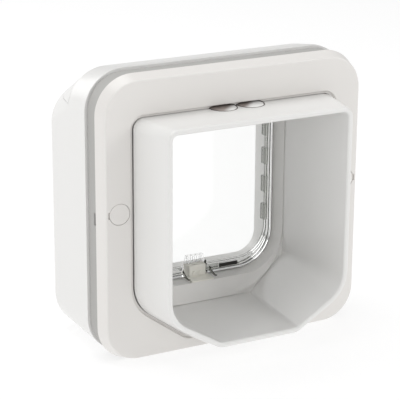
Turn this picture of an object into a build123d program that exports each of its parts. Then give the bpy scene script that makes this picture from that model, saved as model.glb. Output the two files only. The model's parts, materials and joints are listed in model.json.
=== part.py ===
from build123d import *
from math import atan2, cos, pi, sin, sqrt, tan
from typing import NamedTuple
import os

# Cat flap in millimetres: X to the right seen from outdoors, Y into the house, Z up.
# The origin is the middle of the outer frame, on its back plane, where the door stands.

# Outer frame
frame_width = 210.0
frame_height = 210.0
frame_depth = 10.2
frame_corner = 28.0
frame_draft = 2.9
frame_edge_round = 1.6
frame_skin = 2.4
frame_lip = 4.0
cutout_gap = 2.0
scallop_margin = 0.6
scallop_rise = 4.0

# Grey gasket between the frame and the indoor housing
gasket_depth = 15.3
gasket_inset = 1.8
gasket_width = 4.6
notch_height = 9.2
notch_depth = 2.6
notch_cut = 3.0
notch_level = 2.0

# Entrance tunnel, outside at its front edge
hood_reach = 48.0
hood_side_margin = 31.9
hood_top_margin = 30.0
hood_bottom_margin = 16.0
hood_shoulder_rise = 25.1
hood_floor_half = 31.7
hood_top_round = 8.0
hood_shoulder_round = 28.0
hood_floor_round = 12.0
hood_wall = 3.9
hood_lip_round = 1.7
hood_lip_steps = 3

# Entrance tunnel, outside where it passes the frame's face
foot_spread = 7.3
foot_drop = 3.2
foot_shoulder_rise = 2.6
foot_floor_half = 38.5

# Entrance tunnel, outside behind the frame
base_spread = 3.9
base_drop = 4.0
base_shoulder_rise = 1.4
base_floor_half = 38.0

# Entrance tunnel, inside at the flap
tunnel_end_taper = 6.1
tunnel_end_shoulder_rise = 3.5
tunnel_end_floor_half = 39.5
tunnel_end_drop = 2.8
tunnel_end_round = 3.5
tunnel_reach = 17.7
tunnel_flange = 3.0
tunnel_flange_width = 6.0

# Round windows in the hood's roof
window_radius = 9.3
window_spacing = 21.8
window_setback = 10.0
window_thickness = 2.0
window_dome = 0.5
window_bevel = 2.0
window_seal_width = 1.0
window_seal_height = 1.7
window_recess = 2.2

# Indoor housing
housing_seam = 1.2
housing_depth = 63.5
housing_wall = 2.8
housing_corner = 29.0
housing_level = 4.5
housing_drop = 25.0
housing_roof_drop = 4.5
housing_edge_round = 6.0
plate_thickness = 3.0
plate_gap = 0.4

# Opening for the flap and the flap itself
opening_side_lip = 0.8
opening_top_drop = 5.0
opening_sill = 15.9
opening_corner = 29.5
opening_top_corner = 6.0
flap_clearance = 1.2
flap_setback = 17.5
flap_panel = 3.0
flap_rim_depth = 7.0
flap_rim_wall = 1.5
flap_ridge_inset = 3.0
flap_ridge_rise = 6.0
flap_ridge_corner = 24.0
flap_ridge_wall = 1.0
flap_ridge_depth = 5.0
pivot_drop = 8.0
barrel_radius = 4.5
tab_length = 12.4
tab_pitch = 22.4
tab_width = 3.4
tab_depth = 6.0
tab_count = 4
tab_first_rise = 42.1
notch_half_width = 9.8
notch_rise = 9.9
keeper_half_width = 7.8
keeper_height = 5.4
keeper_depth = 4.0
keeper_slope = 82.0
keeper_rib_width = 1.3
keeper_rib_height = 3.8
keeper_rib_count = 4
keeper_rib_pitch = 3.7
keeper_rib_proud = 0.5
magnet_length = 15.8
magnet_height = 2.8
magnet_depth = 4.0
magnet_offset = 28.9
magnet_rise = 3.3
magnet_clearance = 0.1
pin_radius = 2.0
pin_grip = 12.0
pin_press_gap = 0.03
pin_running_gap = 0.06

# Flap frame
neck_depth = 1.0
neck_gap = 0.4
neck_corner = 47.4
neck_top_corner = 6.0
funnel_depth = 3.0
funnel_lip = 0.4
flange_thickness = 3.0
flange_margin = 3.0
flange_shoulder_rise = 11.9
flange_floor_half = 36.0
flange_round = 22.0
ring_wall = 4.5
ring_depth = 22.0
ear_radius = 6.0
post_radius = 4.0
post_margin = 17.0
post_levels = (44.0, -46.0)

# Latch
guide_half_width = 7.0
guide_wall = 1.2
guide_top_drop = 1.2
guide_bottom_drop = 4.0
guide_wing = 2.4
guide_wing_height = 1.2
guide_gap = 0.2
latch_width = 4.4
latch_thickness = 1.8
latch_spacing = 6.4
latch_top_drop = 0.5
latch_travel = 5.0
latch_arm_height = 3.0
latch_arm_reach = 2.0
latch_arm_gap = 0.4
latch_keeper_gap = 1.0
plunger_radius = 2.0
plunger_length = 9.0
plunger_gap = 0.08
solenoid_width = 6.0
solenoid_depth = 13.0
solenoid_height = 11.5
solenoid_top_gap = 0.3
solenoid_front_gap = 10.0
shelf_thickness = 2.0
shelf_half_width = 16.0
shelf_cheek = 2.0
cheek_bite = 1.0
guide_screw_radius = 1.8
guide_screw_spacing = 5.3
guide_screw_head = 0.8

# Indoor face and its collar
collar_wall = 2.5
collar_gap = 0.3
collar_side_gap = 0.5
collar_corner = 17.0
sweep_gap = 1.8
sweep_turn = 90.0
face_edge_round = 1.2

# Hand lock
slider_pad_width = 16.0
slider_pad_height = 13.0
slider_pad_thickness = 4.0
slider_pad_corner = 2.8
slider_pad_edge_round = 1.2
slider_pad_gap = 0.3
slider_travel = 8.0
slider_drop = 15.5
slider_stem_width = 5.0
slider_stem_height = 4.0
slider_gap = 0.3
slider_plate_thickness = 3.0
slider_tongue_width = 11.0
slider_tongue_thickness = 4.0
slider_tongue_setback = 5.5
slider_tongue_drop = 0.8
slider_grip_width = 1.4
slider_grip_length = 9.6
slider_grip_pitch = 3.4
slider_grip_count = 3
slider_grip_proud = 0.5

# Battery bay in the side margins
battery_cover_front = 45.0
battery_cover_rise = 29.0
battery_cover_gap = 0.35
battery_tab_width = 12.0
battery_tab_thickness = 1.8
battery_tab_drop = 2.3
battery_tab_rise = 4.0
battery_tab_offset = 44.0
cell_radius = 7.25
cell_length = 49.5
cell_nub_radius = 2.7
cell_nub_length = 1.0
cell_pitch = 15.5
cell_gap = 0.35
well_wall = 1.2
well_floor = 1.2
well_margin = 17.0
well_board_gap = 8.0
well_rise = 52.0
shelf_rib = 2.0
contact_thickness = 0.6
contact_radius = 5.5

# Circuit board, button and light
board_margin = 24.0
board_width = 22.0
board_foot = 27.0
board_length = 70.0
board_thickness = 1.6
board_setback = 7.4
board_hole_inset = 5.0
board_boss_radius = 3.0
button_drop = 25.0
button_radius = 5.0
button_gap = 0.25
button_flange = 1.5
button_flange_thickness = 2.0
button_proud = 0.9
button_edge_round = 0.7
button_slack = 0.4
switch_gap = 1.5
switch_width = 6.0
light_drop = 12.5
light_radius = 2.0
light_gap = 0.1
light_proud = 0.3
chip_width = 10.0
chip_height = 14.0
chip_thickness = 1.4
chip_drop = 45.0
header_width = 14.0
header_height = 5.0
header_thickness = 5.0
header_drop = 56.0

# Antenna coil
coil_gap = 0.8
coil_screw_gap = 0.4
coil_thickness = 3.2
coil_depth = 8.0

# Fasteners
fixing_level = 8.4
fixing_margin = 13.6
cap_radius = 7.6
cap_gap = 0.25
cap_thickness = 1.6
cap_slot_width = 1.2
cap_slot_height = 5.0
cap_boss_radius = 6.8
cap_boss_depth = 4.0
fixing_radius = 2.0
fixing_head_radius = 4.0
fixing_head_height = 2.6
fixing_boss_radius = 4.6
fixing_boss_length = 15.0
screw_radius = 1.4
screw_head_radius = 2.8
screw_head_height = 1.8
screw_bite = 9.0
screw_gap = 0.1
cover_boss_radius = 3.6
cover_boss_side = 13.0
cover_boss_rise = 19.0
roof_boss_offset = 60.0
roof_boss_drop = 7.0
roof_boss_length = 15.0
tunnel_screw_offset = 50.0
tunnel_screw_rise = 3.6
tunnel_screw_side = 2.8
tunnel_screw_level = -20.0
drive_slot_width = 0.9
drive_slot_depth = 0.7

# Planes across the object, from outdoors to indoors
y_front = -frame_depth
y_plate = gasket_depth
y_plate_back = y_plate + plate_thickness
y_housing = gasket_depth + housing_seam
y_rear = y_housing + housing_depth
y_face = y_rear - housing_wall
y_tunnel_end = y_plate_back + tunnel_reach
y_neck = y_tunnel_end - neck_depth
y_funnel = y_neck + funnel_depth
y_flange_back = y_tunnel_end + flange_thickness
y_flap = y_tunnel_end + flap_setback
y_ring_back = y_flange_back + ring_depth
y_collar = y_ring_back + collar_gap

# Levels and widths that follow from the fits
half_width = frame_width / 2
half_height = frame_height / 2
hood_half_width = half_width - hood_side_margin
hood_top = half_height - hood_top_margin
hood_bottom = hood_bottom_margin - half_height
hood_shoulder = hood_bottom + hood_shoulder_rise
tunnel_end_half_width = hood_half_width - tunnel_end_taper
opening_half_width = tunnel_end_half_width - opening_side_lip
opening_top = hood_top - opening_top_drop
opening_bottom = hood_bottom + opening_sill
collar_half_width = opening_half_width + collar_side_gap
tab_first_level = opening_bottom + tab_first_rise
slider_level = opening_bottom - slider_drop
battery_cover_level = half_height - battery_cover_rise
board_offset = half_width - board_margin
board_bottom = board_foot - half_height
board_top = board_bottom + board_length
button_level = board_top - button_drop
light_level = board_top - light_drop
chip_level = board_top - chip_drop
header_level = board_top - header_drop
well_offset = half_width - well_margin
well_level = board_top + well_board_gap
tunnel_end_floor = hood_bottom + hood_wall - tunnel_end_drop
hood_ceiling = hood_top - hood_wall
flap_half_width = opening_half_width - flap_clearance
flap_bottom = opening_bottom + flap_clearance
flap_corner = opening_corner - flap_clearance
pivot_level = opening_top - pivot_drop
notch_top = flap_bottom + notch_rise
sweep_radius = pivot_level - flap_bottom + sweep_gap
collar_bottom = pivot_level - sqrt(sweep_radius ** 2 - (y_rear - y_flap) ** 2)
pin_bore = pin_radius + pin_running_gap
housing_inside = half_width - housing_wall


class TunnelSection(NamedTuple):
    """Cross-section of the tunnel: flat top, upright sides, chamfered lower corners and flat floor."""

    half_width: float
    top: float
    bottom: float
    shoulder: float
    floor_half: float
    top_round: float
    shoulder_round: float
    floor_round: float

    def inset(self, wall: float) -> "TunnelSection":
        """The parallel section that lies a wall inside this one, or outside it for a negative wall."""
        turn = atan2(self.half_width - self.floor_half, self.shoulder - self.bottom)
        rest = atan2(self.shoulder - self.bottom, self.half_width - self.floor_half)
        return TunnelSection(
            self.half_width - wall,
            self.top - wall,
            self.bottom + wall,
            self.shoulder + wall * tan(turn / 2),
            self.floor_half - wall * tan(rest / 2),
            self.top_round - wall,
            self.shoulder_round - wall,
            self.floor_round - wall,
        )

    def face(self) -> Sketch:
        """The section as a face."""
        corners = [
            (-self.half_width, self.top),
            (self.half_width, self.top),
            (self.half_width, self.shoulder),
            (self.floor_half, self.bottom),
            (-self.floor_half, self.bottom),
            (-self.half_width, self.shoulder),
        ]
        rounds = [
            self.top_round,
            self.top_round,
            self.shoulder_round,
            self.floor_round,
            self.floor_round,
            self.shoulder_round,
        ]
        with BuildSketch() as section:
            with BuildLine():
                FilletPolyline(*corners, radius=rounds, close=True)
            make_face()
        return section.sketch


def arch(half_width: float, top: float, bottom: float, top_round: float, bottom_round: float) -> Sketch:
    """Upright rectangle about X = 0 with one radius for its top corners and one for its bottom corners."""
    corners = [(-half_width, top), (half_width, top), (half_width, bottom), (-half_width, bottom)]
    with BuildSketch() as section:
        with BuildLine():
            FilletPolyline(*corners, radius=[top_round] * 2 + [bottom_round] * 2, close=True)
        make_face()
    return section.sketch


def across(y: float) -> Plane:
    """Plane across the object at one depth, with X to the right and Z up. It faces outdoors."""
    return Plane.XZ.offset(-y)


def mirrored(places: tuple) -> list:
    """Places on the right and their mirror images on the left, the left one first."""
    return [(side * x, level) for x, level in places for side in (-1, 1)]


def finish(builder: BuildPart, label: str) -> None:
    """Name a piece and write its file."""
    builder.part.label = label
    export_step(builder.part, f"parts/{label}.step")


os.makedirs("parts", exist_ok=True)

hood_front = TunnelSection(
    hood_half_width,
    hood_top,
    hood_bottom,
    hood_shoulder,
    hood_floor_half,
    hood_top_round,
    hood_shoulder_round,
    hood_floor_round,
)
hood_mouth = hood_front.inset(hood_wall)
hood_foot = TunnelSection(
    hood_half_width + foot_spread,
    hood_top,
    hood_bottom - foot_drop,
    hood_shoulder + foot_shoulder_rise,
    foot_floor_half,
    hood_top_round,
    hood_shoulder_round,
    hood_floor_round,
)
hood_base = TunnelSection(
    hood_half_width + base_spread,
    hood_top,
    hood_bottom - base_drop,
    hood_shoulder + base_shoulder_rise,
    base_floor_half,
    hood_top_round,
    hood_shoulder_round,
    hood_floor_round,
)
flange_section = hood_base._replace(
    shoulder=hood_shoulder + flange_shoulder_rise,
    floor_half=flange_floor_half,
    shoulder_round=flange_round,
    floor_round=flange_round,
)
tunnel_end = TunnelSection(
    tunnel_end_half_width,
    hood_ceiling,
    tunnel_end_floor,
    hood_shoulder + tunnel_end_shoulder_rise,
    tunnel_end_floor_half,
    hood_top_round - hood_wall,
    tunnel_end_round,
    tunnel_end_round,
)
fixing_places = mirrored(((half_width - fixing_margin, fixing_level),))
corner_places = mirrored(((half_width - cover_boss_side, cover_boss_rise - half_height),))
roof_places = mirrored(((roof_boss_offset, half_height - roof_boss_drop),))
cover_places = corner_places + roof_places
tunnel_places = mirrored((
    (tunnel_screw_offset, hood_top + tunnel_screw_rise),
    (hood_half_width + base_spread + tunnel_screw_side, tunnel_screw_level),
))
post_places = mirrored(tuple((half_width - post_margin, level) for level in post_levels))
board_hole_places = [
    (board_offset, board_top - board_hole_inset),
    (board_offset, board_bottom + board_hole_inset),
]
window_places = mirrored(((window_spacing / 2, -window_setback),))
scallop_places = mirrored(((window_spacing / 2, hood_top),))
magnet_places = mirrored(((magnet_offset, flap_bottom + magnet_rise),))
lip_steps = [
    (hood_lip_round * (1 - cos(turn)), hood_lip_round * (1 - sin(turn)))
    for turn in [pi / 2 * step / hood_lip_steps for step in range(hood_lip_steps + 1)]
]

# Outer frame: a drafted tray with a boss behind each screw cap and a scallop above each window
with BuildPart() as outer_frame:
    with BuildSketch(across(0)):
        RectangleRounded(frame_width, frame_height, frame_corner)
    with BuildSketch(across(y_front)):
        RectangleRounded(
            frame_width - 2 * frame_draft, frame_height - 2 * frame_draft, frame_corner - frame_draft
        )
    loft(ruled=True)
    fillet(outer_frame.faces().sort_by(Axis.Y)[0].edges(), frame_edge_round)
    with BuildSketch(across(0)):
        RectangleRounded(frame_width - 2 * frame_lip, frame_height - 2 * frame_lip, frame_corner - frame_lip)
        add(hood_foot.inset(-cutout_gap - frame_lip).face(), mode=Mode.SUBTRACT)
    extrude(amount=frame_depth - frame_skin, mode=Mode.SUBTRACT)
    with BuildSketch(across(cap_boss_depth)):
        with Locations(*fixing_places):
            Circle(cap_boss_radius)
    extrude(amount=cap_boss_depth + frame_depth - frame_skin)
    with BuildSketch(across(cap_boss_depth)):
        add(hood_foot.inset(-cutout_gap).face())
        with Locations(*scallop_places):
            Ellipse(window_radius + window_seal_width + scallop_margin, scallop_rise)
    extrude(amount=cap_boss_depth + frame_depth, mode=Mode.SUBTRACT)
    with BuildSketch(across(y_front)):
        with Locations(*fixing_places):
            Circle(cap_radius + cap_gap)
        with Locations(*[(x - side * (cap_radius + cap_slot_width / 2), z)
                         for (x, z), side in zip(fixing_places, (1, -1))]):
            Rectangle(cap_slot_width * 2, cap_slot_height)
    extrude(amount=-cap_thickness, mode=Mode.SUBTRACT)
    with BuildSketch(across(y_front)):
        with Locations(*fixing_places):
            Circle(fixing_head_radius + screw_gap)
    extrude(amount=-cap_thickness - fixing_head_height, mode=Mode.SUBTRACT)
    with BuildSketch(across(y_front)):
        with Locations(*fixing_places):
            Circle(fixing_radius + screw_gap)
    extrude(amount=-frame_depth - cap_boss_depth, mode=Mode.SUBTRACT)
finish(outer_frame, "outer_frame")

# Screw caps, flush with the frame's face
with BuildPart() as screw_caps:
    with BuildSketch(across(y_front)):
        with Locations(*fixing_places):
            Circle(cap_radius)
    extrude(amount=-cap_thickness)
finish(screw_caps, "screw_caps")

# Gasket ring, with a small notch in its front edge on each side
with BuildPart() as door_gasket:
    with BuildSketch(across(gasket_depth)):
        RectangleRounded(
            frame_width - 2 * gasket_inset, frame_height - 2 * gasket_inset, frame_corner - gasket_inset
        )
        gasket_hole = gasket_inset + gasket_width
        RectangleRounded(
            frame_width - 2 * gasket_hole,
            frame_height - 2 * gasket_hole,
            frame_corner - gasket_hole,
            mode=Mode.SUBTRACT,
        )
    extrude(amount=gasket_depth)
    with BuildSketch(across(notch_depth)):
        with Locations(*mirrored(((half_width - gasket_inset, notch_level),))):
            Rectangle(notch_cut * 2, notch_height)
    extrude(amount=notch_depth, mode=Mode.SUBTRACT)
finish(door_gasket, "door_gasket")

# Entrance tunnel: the hood tapers out to the frame, and the tunnel runs straight into the housing
with BuildPart() as entrance_tunnel:
    for depth, inset in lip_steps:
        with BuildSketch(across(depth - hood_reach)):
            add(hood_front.inset(inset).face())
    with BuildSketch(across(y_front)):
        add(hood_foot.face())
    with BuildSketch(across(0)):
        add(hood_base.face())
    loft(ruled=True)
    with BuildSketch(across(y_tunnel_end)):
        add(hood_base.face())
    extrude(amount=y_tunnel_end)
    with BuildSketch(across(y_plate_back + tunnel_flange)):
        add(hood_base.inset(-tunnel_flange_width).face())
    extrude(amount=tunnel_flange)
    for depth, inset in lip_steps:
        with BuildSketch(across(depth - hood_reach)):
            add(hood_mouth.inset(-inset).face())
    with BuildSketch(across(y_tunnel_end)):
        add(tunnel_end.face())
    loft(ruled=True, mode=Mode.SUBTRACT)
    with BuildSketch(Plane.XY.offset(hood_top)):
        with Locations(*window_places):
            Circle(window_radius + window_seal_width)
    extrude(amount=-window_recess, mode=Mode.SUBTRACT)
    with BuildSketch(across(y_plate_back + tunnel_flange)):
        with Locations(*tunnel_places):
            Circle(screw_radius + screw_gap)
    extrude(amount=tunnel_flange, mode=Mode.SUBTRACT)
finish(entrance_tunnel, "entrance_tunnel")

# Windows in the hood's roof: low domes, each in a dark sealing ring
with BuildPart() as sensor_windows:
    with BuildSketch(Plane.XY.offset(hood_top - window_recess)):
        with Locations(*window_places):
            Circle(window_radius)
    extrude(amount=window_thickness)
    window_tops = sensor_windows.faces().filter_by(Axis.Z).group_by(Axis.Z)[-1]
    chamfer(window_tops.edges(), window_dome, window_bevel)
finish(sensor_windows, "sensor_windows")

with BuildPart() as window_seals:
    with BuildSketch(Plane.XY.offset(hood_top - window_recess)):
        with Locations(*window_places):
            Circle(window_radius + window_seal_width)
            Circle(window_radius, mode=Mode.SUBTRACT)
    extrude(amount=window_seal_height)
finish(window_seals, "window_seals")

# Flap frame: a funnel down to the flap's opening, a flange against the tunnel and a ring round the flap
outer_latch_y = y_flap - keeper_depth / 2 - latch_keeper_gap - latch_thickness
inner_latch_y = y_flap + keeper_depth / 2 + latch_keeper_gap
guide_front = outer_latch_y - guide_gap - guide_wall
guide_back = inner_latch_y + latch_thickness + guide_gap + guide_wall
guide_top = notch_top - guide_top_drop
guide_bottom = opening_bottom - guide_bottom_drop
latch_top = guide_top - latch_top_drop
latch_arm_top = guide_bottom - latch_travel - latch_arm_gap
latch_arm_bottom = latch_arm_top - latch_arm_height
solenoid_top = latch_arm_bottom - solenoid_top_gap
solenoid_bottom = solenoid_top - solenoid_height
shelf_bottom = solenoid_bottom - shelf_thickness
solenoid_front = y_flange_back + solenoid_front_gap
solenoid_back = solenoid_front + solenoid_depth
ring_bottom = opening_bottom - ring_wall
with BuildPart() as flap_frame:
    with BuildSketch(across(y_tunnel_end)):
        add(arch(
            tunnel_end_half_width - neck_gap,
            hood_ceiling - neck_gap,
            tunnel_end_floor + neck_gap,
            neck_top_corner,
            neck_corner,
        ))
    extrude(amount=neck_depth)
    with BuildSketch(across(y_flange_back)):
        add(flange_section.inset(-flange_margin).face())
        for x, z in post_places:
            with Locations((x, z)):
                Circle(ear_radius)
            with Locations((x - ear_radius if x > 0 else x + ear_radius, z)):
                Rectangle(ear_radius * 2, ear_radius * 2)
        Rectangle(shelf_half_width * 2, -shelf_bottom, align=(Align.CENTER, Align.MAX))
    extrude(amount=flange_thickness)
    with BuildSketch(across(y_ring_back)):
        add(arch(
            opening_half_width + ring_wall,
            opening_top + ring_wall,
            ring_bottom,
            opening_top_corner + ring_wall,
            opening_corner + ring_wall,
        ))
    extrude(amount=ring_depth)
    with BuildSketch(across(solenoid_back)):
        with Locations((0, shelf_bottom)):
            Rectangle(shelf_half_width * 2, shelf_thickness, align=(Align.CENTER, Align.MIN))
        for side in (-1, 1):
            with Locations((side * (shelf_half_width - shelf_cheek / 2), shelf_bottom)):
                Rectangle(
                    shelf_cheek,
                    ring_bottom - shelf_bottom + cheek_bite,
                    align=(Align.CENTER, Align.MIN),
                )
    extrude(amount=solenoid_back - y_flange_back)
    with BuildSketch(across(y_neck)):
        add(arch(
            tunnel_end_half_width - neck_gap - funnel_lip,
            hood_ceiling - neck_gap - funnel_lip,
            tunnel_end_floor + neck_gap + funnel_lip,
            neck_top_corner - funnel_lip,
            neck_corner - funnel_lip,
        ))
    with BuildSketch(across(y_funnel)):
        add(arch(opening_half_width, opening_top, opening_bottom, opening_top_corner, opening_corner))
    loft(ruled=True, mode=Mode.SUBTRACT)
    with BuildSketch(across(y_ring_back)):
        add(arch(opening_half_width, opening_top, opening_bottom, opening_top_corner, opening_corner))
    extrude(amount=y_ring_back - y_funnel, mode=Mode.SUBTRACT)
    with BuildSketch(across(guide_back + guide_gap)):
        with Locations((0, latch_arm_bottom - guide_gap)):
            Rectangle(
                (guide_half_width + guide_gap) * 2,
                opening_bottom - latch_arm_bottom + ring_wall,
                align=(Align.CENTER, Align.MIN),
            )
    extrude(amount=guide_back - guide_front + guide_gap * 2, mode=Mode.SUBTRACT)
    with BuildSketch(Plane.YZ.offset(-opening_half_width - ring_wall)):
        with Locations((y_flap, pivot_level)):
            Circle(pin_bore)
    extrude(amount=(opening_half_width + ring_wall) * 2, mode=Mode.SUBTRACT)
    with BuildSketch(across(y_flange_back)):
        with Locations(*post_places):
            Circle(screw_radius + screw_gap)
    extrude(amount=flange_thickness, mode=Mode.SUBTRACT)
finish(flap_frame, "flap_frame")

# Flap: clear panel with a rim, an inner ridge, tabs along the sides and a notch for the latch
with BuildPart() as flap:
    with BuildSketch(across(y_flap)):
        add(arch(flap_half_width, pivot_level, flap_bottom, 0, flap_corner))
    extrude(amount=flap_panel / 2, both=True)
    with BuildSketch(across(y_flap)):
        add(arch(flap_half_width, pivot_level, flap_bottom, 0, flap_corner))
        add(arch(
            flap_half_width - flap_rim_wall,
            pivot_level,
            flap_bottom + flap_rim_wall,
            0,
            flap_corner - flap_rim_wall,
        ), mode=Mode.SUBTRACT)
    extrude(amount=flap_rim_depth / 2, both=True)
    with BuildSketch(across(y_flap)):
        add(arch(
            flap_half_width - flap_ridge_inset,
            pivot_level,
            flap_bottom + flap_ridge_rise,
            0,
            flap_ridge_corner,
        ))
        add(arch(
            flap_half_width - flap_ridge_inset - flap_ridge_wall,
            pivot_level,
            flap_bottom + flap_ridge_rise + flap_ridge_wall,
            0,
            flap_ridge_corner - flap_ridge_wall,
        ), mode=Mode.SUBTRACT)
    extrude(amount=flap_ridge_depth / 2, both=True)
    with BuildSketch(across(y_flap)):
        for index in range(tab_count):
            for side in (-1, 1):
                with Locations((
                    side * (flap_half_width - flap_ridge_inset - tab_width / 2),
                    tab_first_level + index * tab_pitch,
                )):
                    Rectangle(tab_width, tab_length)
    extrude(amount=tab_depth / 2, both=True)
    with BuildSketch(Plane.YZ.offset(-flap_half_width)):
        with Locations((y_flap, pivot_level)):
            Circle(barrel_radius)
    extrude(amount=flap_half_width * 2)
    with BuildSketch(across(y_flap)):
        with Locations((0, flap_bottom)):
            Rectangle(notch_half_width * 2, notch_rise * 2)
    extrude(amount=flap_rim_depth, both=True, mode=Mode.SUBTRACT)
    with BuildSketch(across(y_flap)):
        with Locations((0, notch_top)):
            Trapezoid(keeper_half_width * 2, keeper_height, keeper_slope, align=(Align.CENTER, Align.MIN))
    extrude(amount=keeper_depth / 2, both=True)
    with BuildSketch(across(y_flap)):
        with Locations((0, notch_top + keeper_height / 2)):
            with GridLocations(keeper_rib_pitch, 1, keeper_rib_count, 1):
                Rectangle(keeper_rib_width, keeper_rib_height)
    extrude(amount=keeper_depth / 2 + keeper_rib_proud, both=True)
    with BuildSketch(across(y_flap)):
        with Locations(*magnet_places):
            Rectangle(magnet_length + magnet_clearance * 2, magnet_height + magnet_clearance * 2)
    extrude(amount=flap_panel, both=True, mode=Mode.SUBTRACT)
    with BuildSketch(Plane.YZ.offset(-flap_half_width)):
        with Locations((y_flap, pivot_level)):
            Circle(pin_radius + pin_press_gap)
    extrude(amount=pin_grip, mode=Mode.SUBTRACT)
    with BuildSketch(Plane.YZ.offset(flap_half_width)):
        with Locations((y_flap, pivot_level)):
            Circle(pin_radius + pin_press_gap)
    extrude(amount=-pin_grip, mode=Mode.SUBTRACT)
finish(flap, "flap")

# Magnets in the flap's bottom rim
with BuildPart() as flap_magnets:
    with BuildSketch(across(y_flap)):
        with Locations(*magnet_places):
            Rectangle(magnet_length, magnet_height)
    extrude(amount=magnet_depth / 2, both=True)
finish(flap_magnets, "flap_magnets")

# Hinge pins, gripped by the flap and turning in the flap frame
with BuildPart() as hinge_pins:
    with BuildSketch(Plane.YZ.offset(-flap_half_width + pin_grip)):
        with Locations((y_flap, pivot_level)):
            Circle(pin_radius)
    extrude(amount=-pin_grip - flap_clearance - ring_wall)
    with BuildSketch(Plane.YZ.offset(flap_half_width - pin_grip)):
        with Locations((y_flap, pivot_level)):
            Circle(pin_radius)
    extrude(amount=pin_grip + flap_clearance + ring_wall)
finish(hinge_pins, "hinge_pins")

# Latch guide: a block in the sill's pocket that hangs on its wings, with a slot for each latch
latch_places = (
    (-latch_spacing / 2, outer_latch_y + latch_thickness / 2),
    (latch_spacing / 2, inner_latch_y + latch_thickness / 2),
)
with BuildPart() as latch_guide:
    with BuildSketch(Plane.XY.offset(guide_bottom)):
        with Locations((0, (guide_front + guide_back) / 2)):
            Rectangle(guide_half_width * 2, guide_back - guide_front)
    extrude(amount=guide_top - guide_bottom)
    fillet(latch_guide.edges().filter_by(Axis.X).group_by(Axis.Z)[-1], guide_wing_height)
    with BuildSketch(Plane.XY.offset(opening_bottom)):
        with Locations((0, (y_funnel + guide_back) / 2)):
            Rectangle((guide_half_width + guide_wing) * 2, guide_back - y_funnel)
    extrude(amount=guide_wing_height)
    with BuildSketch(Plane.XY.offset(guide_bottom)):
        with Locations(*latch_places):
            Rectangle(latch_width + guide_gap * 2, latch_thickness + guide_gap * 2)
    extrude(amount=guide_top - guide_bottom, mode=Mode.SUBTRACT)
finish(latch_guide, "latch_guide")

guide_screw_level = (guide_top + opening_bottom) / 2 - guide_wing_height
with BuildPart() as guide_screws:
    with BuildSketch(across(guide_front)):
        with Locations(*mirrored(((guide_screw_spacing / 2, guide_screw_level),))):
            Circle(guide_screw_radius)
    extrude(amount=guide_screw_head)
finish(guide_screws, "guide_screws")

# Latches: a finger on an arm that reaches back to its plunger
plunger_y = (solenoid_front + solenoid_back) / 2


def latch_piece(place: tuple) -> Part:
    """A latch finger and its arm at one place in the guide."""
    x, y = place
    with BuildPart() as latch:
        with BuildSketch(Plane.XY.offset(latch_arm_bottom)):
            with Locations((x, y)):
                Rectangle(latch_width, latch_thickness)
        extrude(amount=latch_top - latch_arm_bottom)
        with BuildSketch(Plane.XY.offset(latch_arm_bottom)):
            with Locations((x, y - latch_thickness / 2)):
                Rectangle(
                    latch_width,
                    plunger_y + plunger_radius + latch_arm_reach - y + latch_thickness / 2,
                    align=(Align.CENTER, Align.MIN),
                )
        extrude(amount=latch_arm_height)
    return latch.part


with BuildPart() as outer_latch:
    add(latch_piece(latch_places[0]))
finish(outer_latch, "outer_latch")

with BuildPart() as inner_latch:
    add(latch_piece(latch_places[1]))
finish(inner_latch, "inner_latch")

# Plungers under the latch arms, and the solenoids that lift them
for label, place in (("outer_plunger", latch_places[0]), ("inner_plunger", latch_places[1])):
    with BuildPart() as plunger:
        with BuildSketch(Plane.XY.offset(latch_arm_bottom)):
            with Locations((place[0], plunger_y)):
                Circle(plunger_radius)
        extrude(amount=-plunger_length)
    finish(plunger, label)

with BuildPart() as latch_solenoids:
    with BuildSketch(Plane.XY.offset(solenoid_bottom)):
        with Locations(*[(x, plunger_y) for x, _ in latch_places]):
            Rectangle(solenoid_width, solenoid_depth)
    extrude(amount=solenoid_height)
    with BuildSketch(Plane.XY.offset(solenoid_top)):
        with Locations(*[(x, plunger_y) for x, _ in latch_places]):
            Circle(plunger_radius + plunger_gap)
    extrude(amount=-plunger_length, mode=Mode.SUBTRACT)
finish(latch_solenoids, "latch_solenoids")

# Back plate: the chassis, with posts for the flap frame and bosses for the long fixing screws
with BuildPart() as back_plate:
    plate_width = (housing_inside - plate_gap) * 2
    with BuildSketch(across(y_plate_back)):
        RectangleRounded(
            plate_width,
            plate_width + frame_height - frame_width,
            housing_corner - housing_wall - plate_gap,
        )
        add(hood_base.inset(-neck_gap).face(), mode=Mode.SUBTRACT)
    extrude(amount=plate_thickness)
    with BuildSketch(across(y_tunnel_end)):
        with Locations(*post_places):
            Circle(post_radius)
    extrude(amount=tunnel_reach)
    with BuildSketch(across(y_plate_back + fixing_boss_length)):
        with Locations(*fixing_places):
            Circle(fixing_boss_radius)
    extrude(amount=fixing_boss_length)
    with BuildSketch(across(y_plate_back + fixing_boss_length)):
        with Locations(*fixing_places):
            Circle(fixing_radius + screw_gap)
    extrude(amount=fixing_boss_length + plate_thickness, mode=Mode.SUBTRACT)
    with BuildSketch(across(y_tunnel_end)):
        with Locations(*post_places):
            Circle(screw_radius + screw_gap)
    extrude(amount=screw_bite, mode=Mode.SUBTRACT)
    with BuildSketch(across(y_plate_back)):
        with Locations(*tunnel_places):
            Circle(screw_radius + screw_gap)
        with Locations(*cover_places):
            Circle(screw_radius + screw_gap)
    extrude(amount=plate_thickness, mode=Mode.SUBTRACT)
    with BuildSketch(across(y_plate)):
        with Locations(*cover_places):
            Circle(screw_head_radius + screw_gap)
    extrude(amount=-screw_head_height, mode=Mode.SUBTRACT)
finish(back_plate, "back_plate")


def housing_outline(inset: float, drop: float) -> Sketch:
    """Outline of the housing, a wall inside its skin, with its top lowered."""
    return arch(
        half_width - inset,
        half_height - inset - drop,
        inset - half_height,
        housing_corner - inset,
        housing_corner - inset,
    )


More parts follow.
